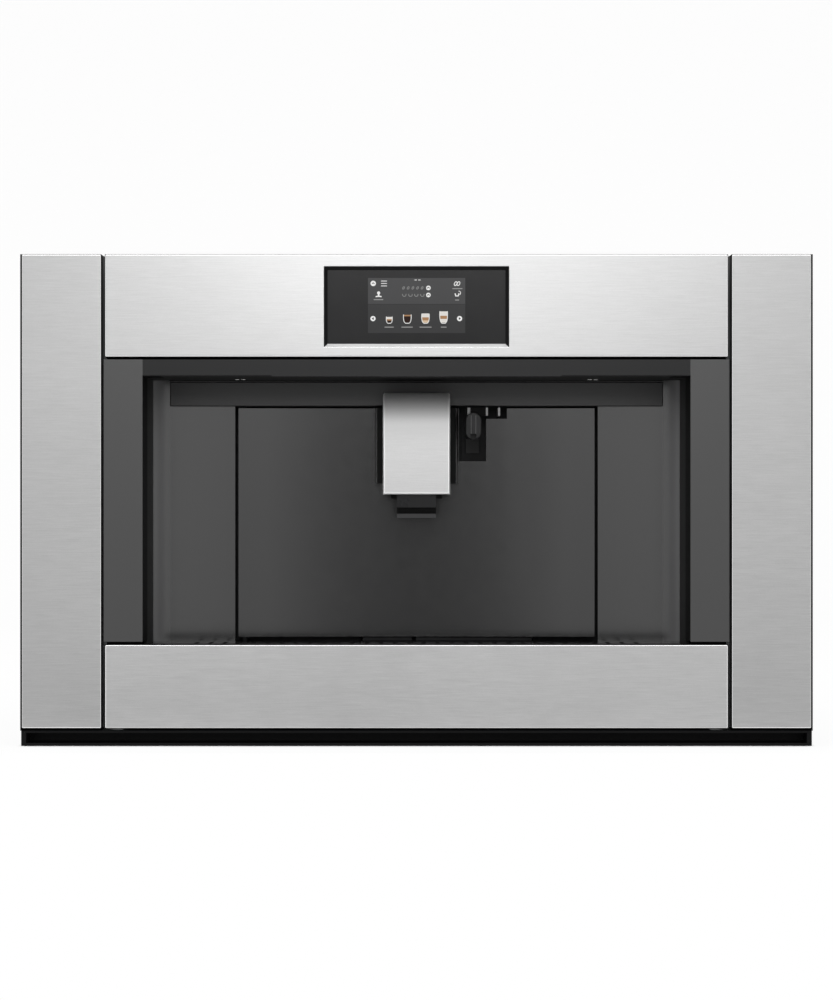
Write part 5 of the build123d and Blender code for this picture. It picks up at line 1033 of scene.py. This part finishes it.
class COFFEE_OT_nozzle_bars(Operator):
    """Puts the bright bars beside the hot-water nozzle"""

    bl_idname = "coffee.nozzle_bars"
    bl_label = "Nozzle bars"

    def execute(self, context):
        choice = context.scene.machine_detail
        bar = satin_paint("bar_paint", (0.38, 0.38, 0.38), 0.35, 0.5)
        lower, upper = low("hot_water_nozzle"), high("hot_water_nozzle")
        face = high("hot_water_spout")[1] + 0.0001
        foot, top = upper[2] - choice.bar_height, upper[2]
        bars = (
            (lower[0] + BAR_INSET, WIDE_BAR, face + BAR_DEPTH),
            (upper[0] - BAR_INSET, SLIM_BAR, face + BAR_DEPTH),
            (upper[0] + POST_OUTSET, SLIM_BAR, BULKHEAD_FACE),
        )
        parts = [
            rounded_bar((left, face, foot), (left + width, back, top), choice.bar_edge)
            for left, width, back in bars
        ]
        piece("nozzle_bars", joined(parts), "machine", bar.material, True)
        return {"FINISHED"}


class COFFEE_OT_stage(Operator):
    """Sets the floor, the backdrop, the soft lights and the camera"""

    bl_idname = "coffee.stage"
    bl_label = "Floor, lights and camera"

    def execute(self, context):
        choice = context.scene.machine_light
        scene = context.scene
        scene.view_settings.view_transform = "Standard"
        world = bpy.data.worlds.new("room")
        scene.world = world
        world.use_nodes = True
        self.room(world.node_tree, choice)
        self.ground(choice)
        self.lamp("front_box", choice.front, **FRONT_BOX)
        self.lamp("top_box", choice.top, **TOP_BOX)
        camera = bpy.data.cameras.new("front_camera")
        camera.sensor_fit = "VERTICAL"
        camera.sensor_height = CAMERA_SENSOR
        camera.lens = CAMERA_LENS
        view = placed("front_camera", camera)
        view.location = CAMERA_PLACE
        view.rotation_euler = (math.radians(90.0), 0.0, 0.0)
        scene.camera = view
        return {"FINISHED"}

    @staticmethod
    def room(tree, choice):
        """Even white room with a quieter low front end and a narrow gap in it, and plain white to
        the camera. Each share is a product of smooth steps: how far a direction points to the
        front, how low it points and, for the gap, how near it is to the middle."""
        room = Nodes(tree)
        where = room.add("ShaderNodeTexCoord").outputs["Generated"]
        x, y, z = room.add("ShaderNodeSeparateXYZ", {"Vector": where}).outputs

        def fade(socket, limits):
            return room.spread(socket, 1.0, 0.0, *limits, "SMOOTHSTEP")

        def level(share, start, end):
            return room.spread(share, start, end, 0.0, 1.0)

        front = fade(y, choice.front_side)
        low_end = room.both(front, fade(z, choice.front_height))
        aside = fade(room.worked("ABSOLUTE", x), choice.gap_side)
        gap = room.both(front, room.both(aside, fade(z, choice.gap_height)))
        strength = room.both(
            room.both(level(front, choice.world, choice.ahead), level(low_end, 1.0, choice.quiet)),
            level(gap, 1.0, choice.gap),
        )
        seen = room.add("ShaderNodeLightPath").outputs["Is Camera Ray"]
        shown = room.add("ShaderNodeMix", {"Factor": seen, "A": strength, "B": 1.0})
        background = tree.nodes["Background"].inputs
        room.feed(background["Strength"], shown.outputs["Result"])
        room.feed(background["Color"], (1.0, 1.0, 1.0, 1.0))

    @staticmethod
    def lamp(name, power, place, aim, size):
        """Soft rectangular light at a place, turned to its aim."""
        light = bpy.data.lights.new(name, "AREA")
        light.shape = "RECTANGLE"
        light.size, light.size_y = size
        light.energy = power
        obj = placed(name, light)
        obj.location = place
        obj.rotation_euler = (Vector(aim) - Vector(place)).to_track_quat("-Z", "Y").to_euler()

    @staticmethod
    def pale(name, colour, share):
        """Pale ground that shows white to the camera and in metal and glass, and still keeps a
        part of its own shaded colour, so a shadow stays."""
        ground = Finish(name, colour, 0.9)
        ground.tone(ground.noise(2, 2.0), 0.01)
        white = ground.add("ShaderNodeEmission", {"Strength": 1.0}).outputs[0]
        path = ground.add("ShaderNodeLightPath").outputs
        seen = ground.worked("MAXIMUM", path["Is Camera Ray"], path["Is Glossy Ray"])
        seen = ground.worked("MAXIMUM", seen, path["Is Transmission Ray"])
        footprint = ground.both(
            ground.band("X", CAD_BOX[0][0], CAD_BOX[1][0], 0.004),
            ground.band("Y", CAD_BOX[0][1], CAD_BOX[1][1], 0.004),
        )
        kept = ground.both(seen, ground.spread(footprint, share, 0.0, 0.0, 1.0))
        inputs = {"Fac": kept, 1: ground.shader.outputs[0], 2: white}
        mix = ground.add("ShaderNodeMixShader", inputs)
        surface = ground.tree.nodes["Material Output"].inputs["Surface"]
        ground.feed(surface, mix.outputs[0])
        return ground.material

    def ground(self, choice):
        """Floor and wall as one profile carried along X: flat, a quarter round, then upright."""
        reach, back, radius = choice.reach, 4.0, 1.5
        a = np.linspace(0, np.pi / 2, 16)
        y = np.concatenate([[-choice.front_reach], back - radius + radius * np.sin(a), [back]])
        z = np.concatenate([[0.0], radius - radius * np.cos(a), [reach]])
        x = np.array([-reach, reach])
        points = np.stack([np.tile(x, len(y)), np.repeat(y, 2), np.repeat(z, 2)], 1)
        paint = self.pale("pale_ground", tuple(choice.floor), 0.9)
        mesh_object("floor", (points, grid_faces(len(y), 2)), paint, True)


STEPS = (
    COFFEE_OT_finishes,
    COFFEE_OT_screen,
    COFFEE_OT_nozzle_bars,
    COFFEE_OT_screws,
    COFFEE_OT_stage,
)


class COFFEE_PT_machine(Panel):
    """Lists the steps that dress the coffee machine"""

    bl_label = "Coffee Machine"
    bl_idname = "COFFEE_PT_machine"
    bl_space_type = "VIEW_3D"
    bl_region_type = "UI"
    bl_category = "Coffee Machine"

    def draw(self, context):
        for step in STEPS:
            self.layout.operator(step.bl_idname)
        for name in SETTINGS:
            box = self.layout.box()
            group = getattr(context.scene, name)
            for key in group.__annotations__:
                box.prop(group, key)


SETTINGS = {
    "machine_finish": FinishSettings,
    "machine_screen": ScreenSettings,
    "machine_detail": DetailSettings,
    "machine_light": LightSettings,
}
CLASSES = (*SETTINGS.values(), *STEPS, COFFEE_PT_machine)


def register():
    for item in CLASSES:
        bpy.utils.register_class(item)
    for name, group in SETTINGS.items():
        setattr(bpy.types.Scene, name, PointerProperty(type=group))


def unregister():
    for name in SETTINGS:
        delattr(bpy.types.Scene, name)
    for item in reversed(CLASSES):
        bpy.utils.unregister_class(item)


def main():
    register()
    for step in STEPS:
        group, name = step.bl_idname.split(".")
        if getattr(getattr(bpy.ops, group), name)() != {"FINISHED"}:
            raise RuntimeError(f"{step.bl_label} didn't finish")


if __name__ == "__main__":
    main()
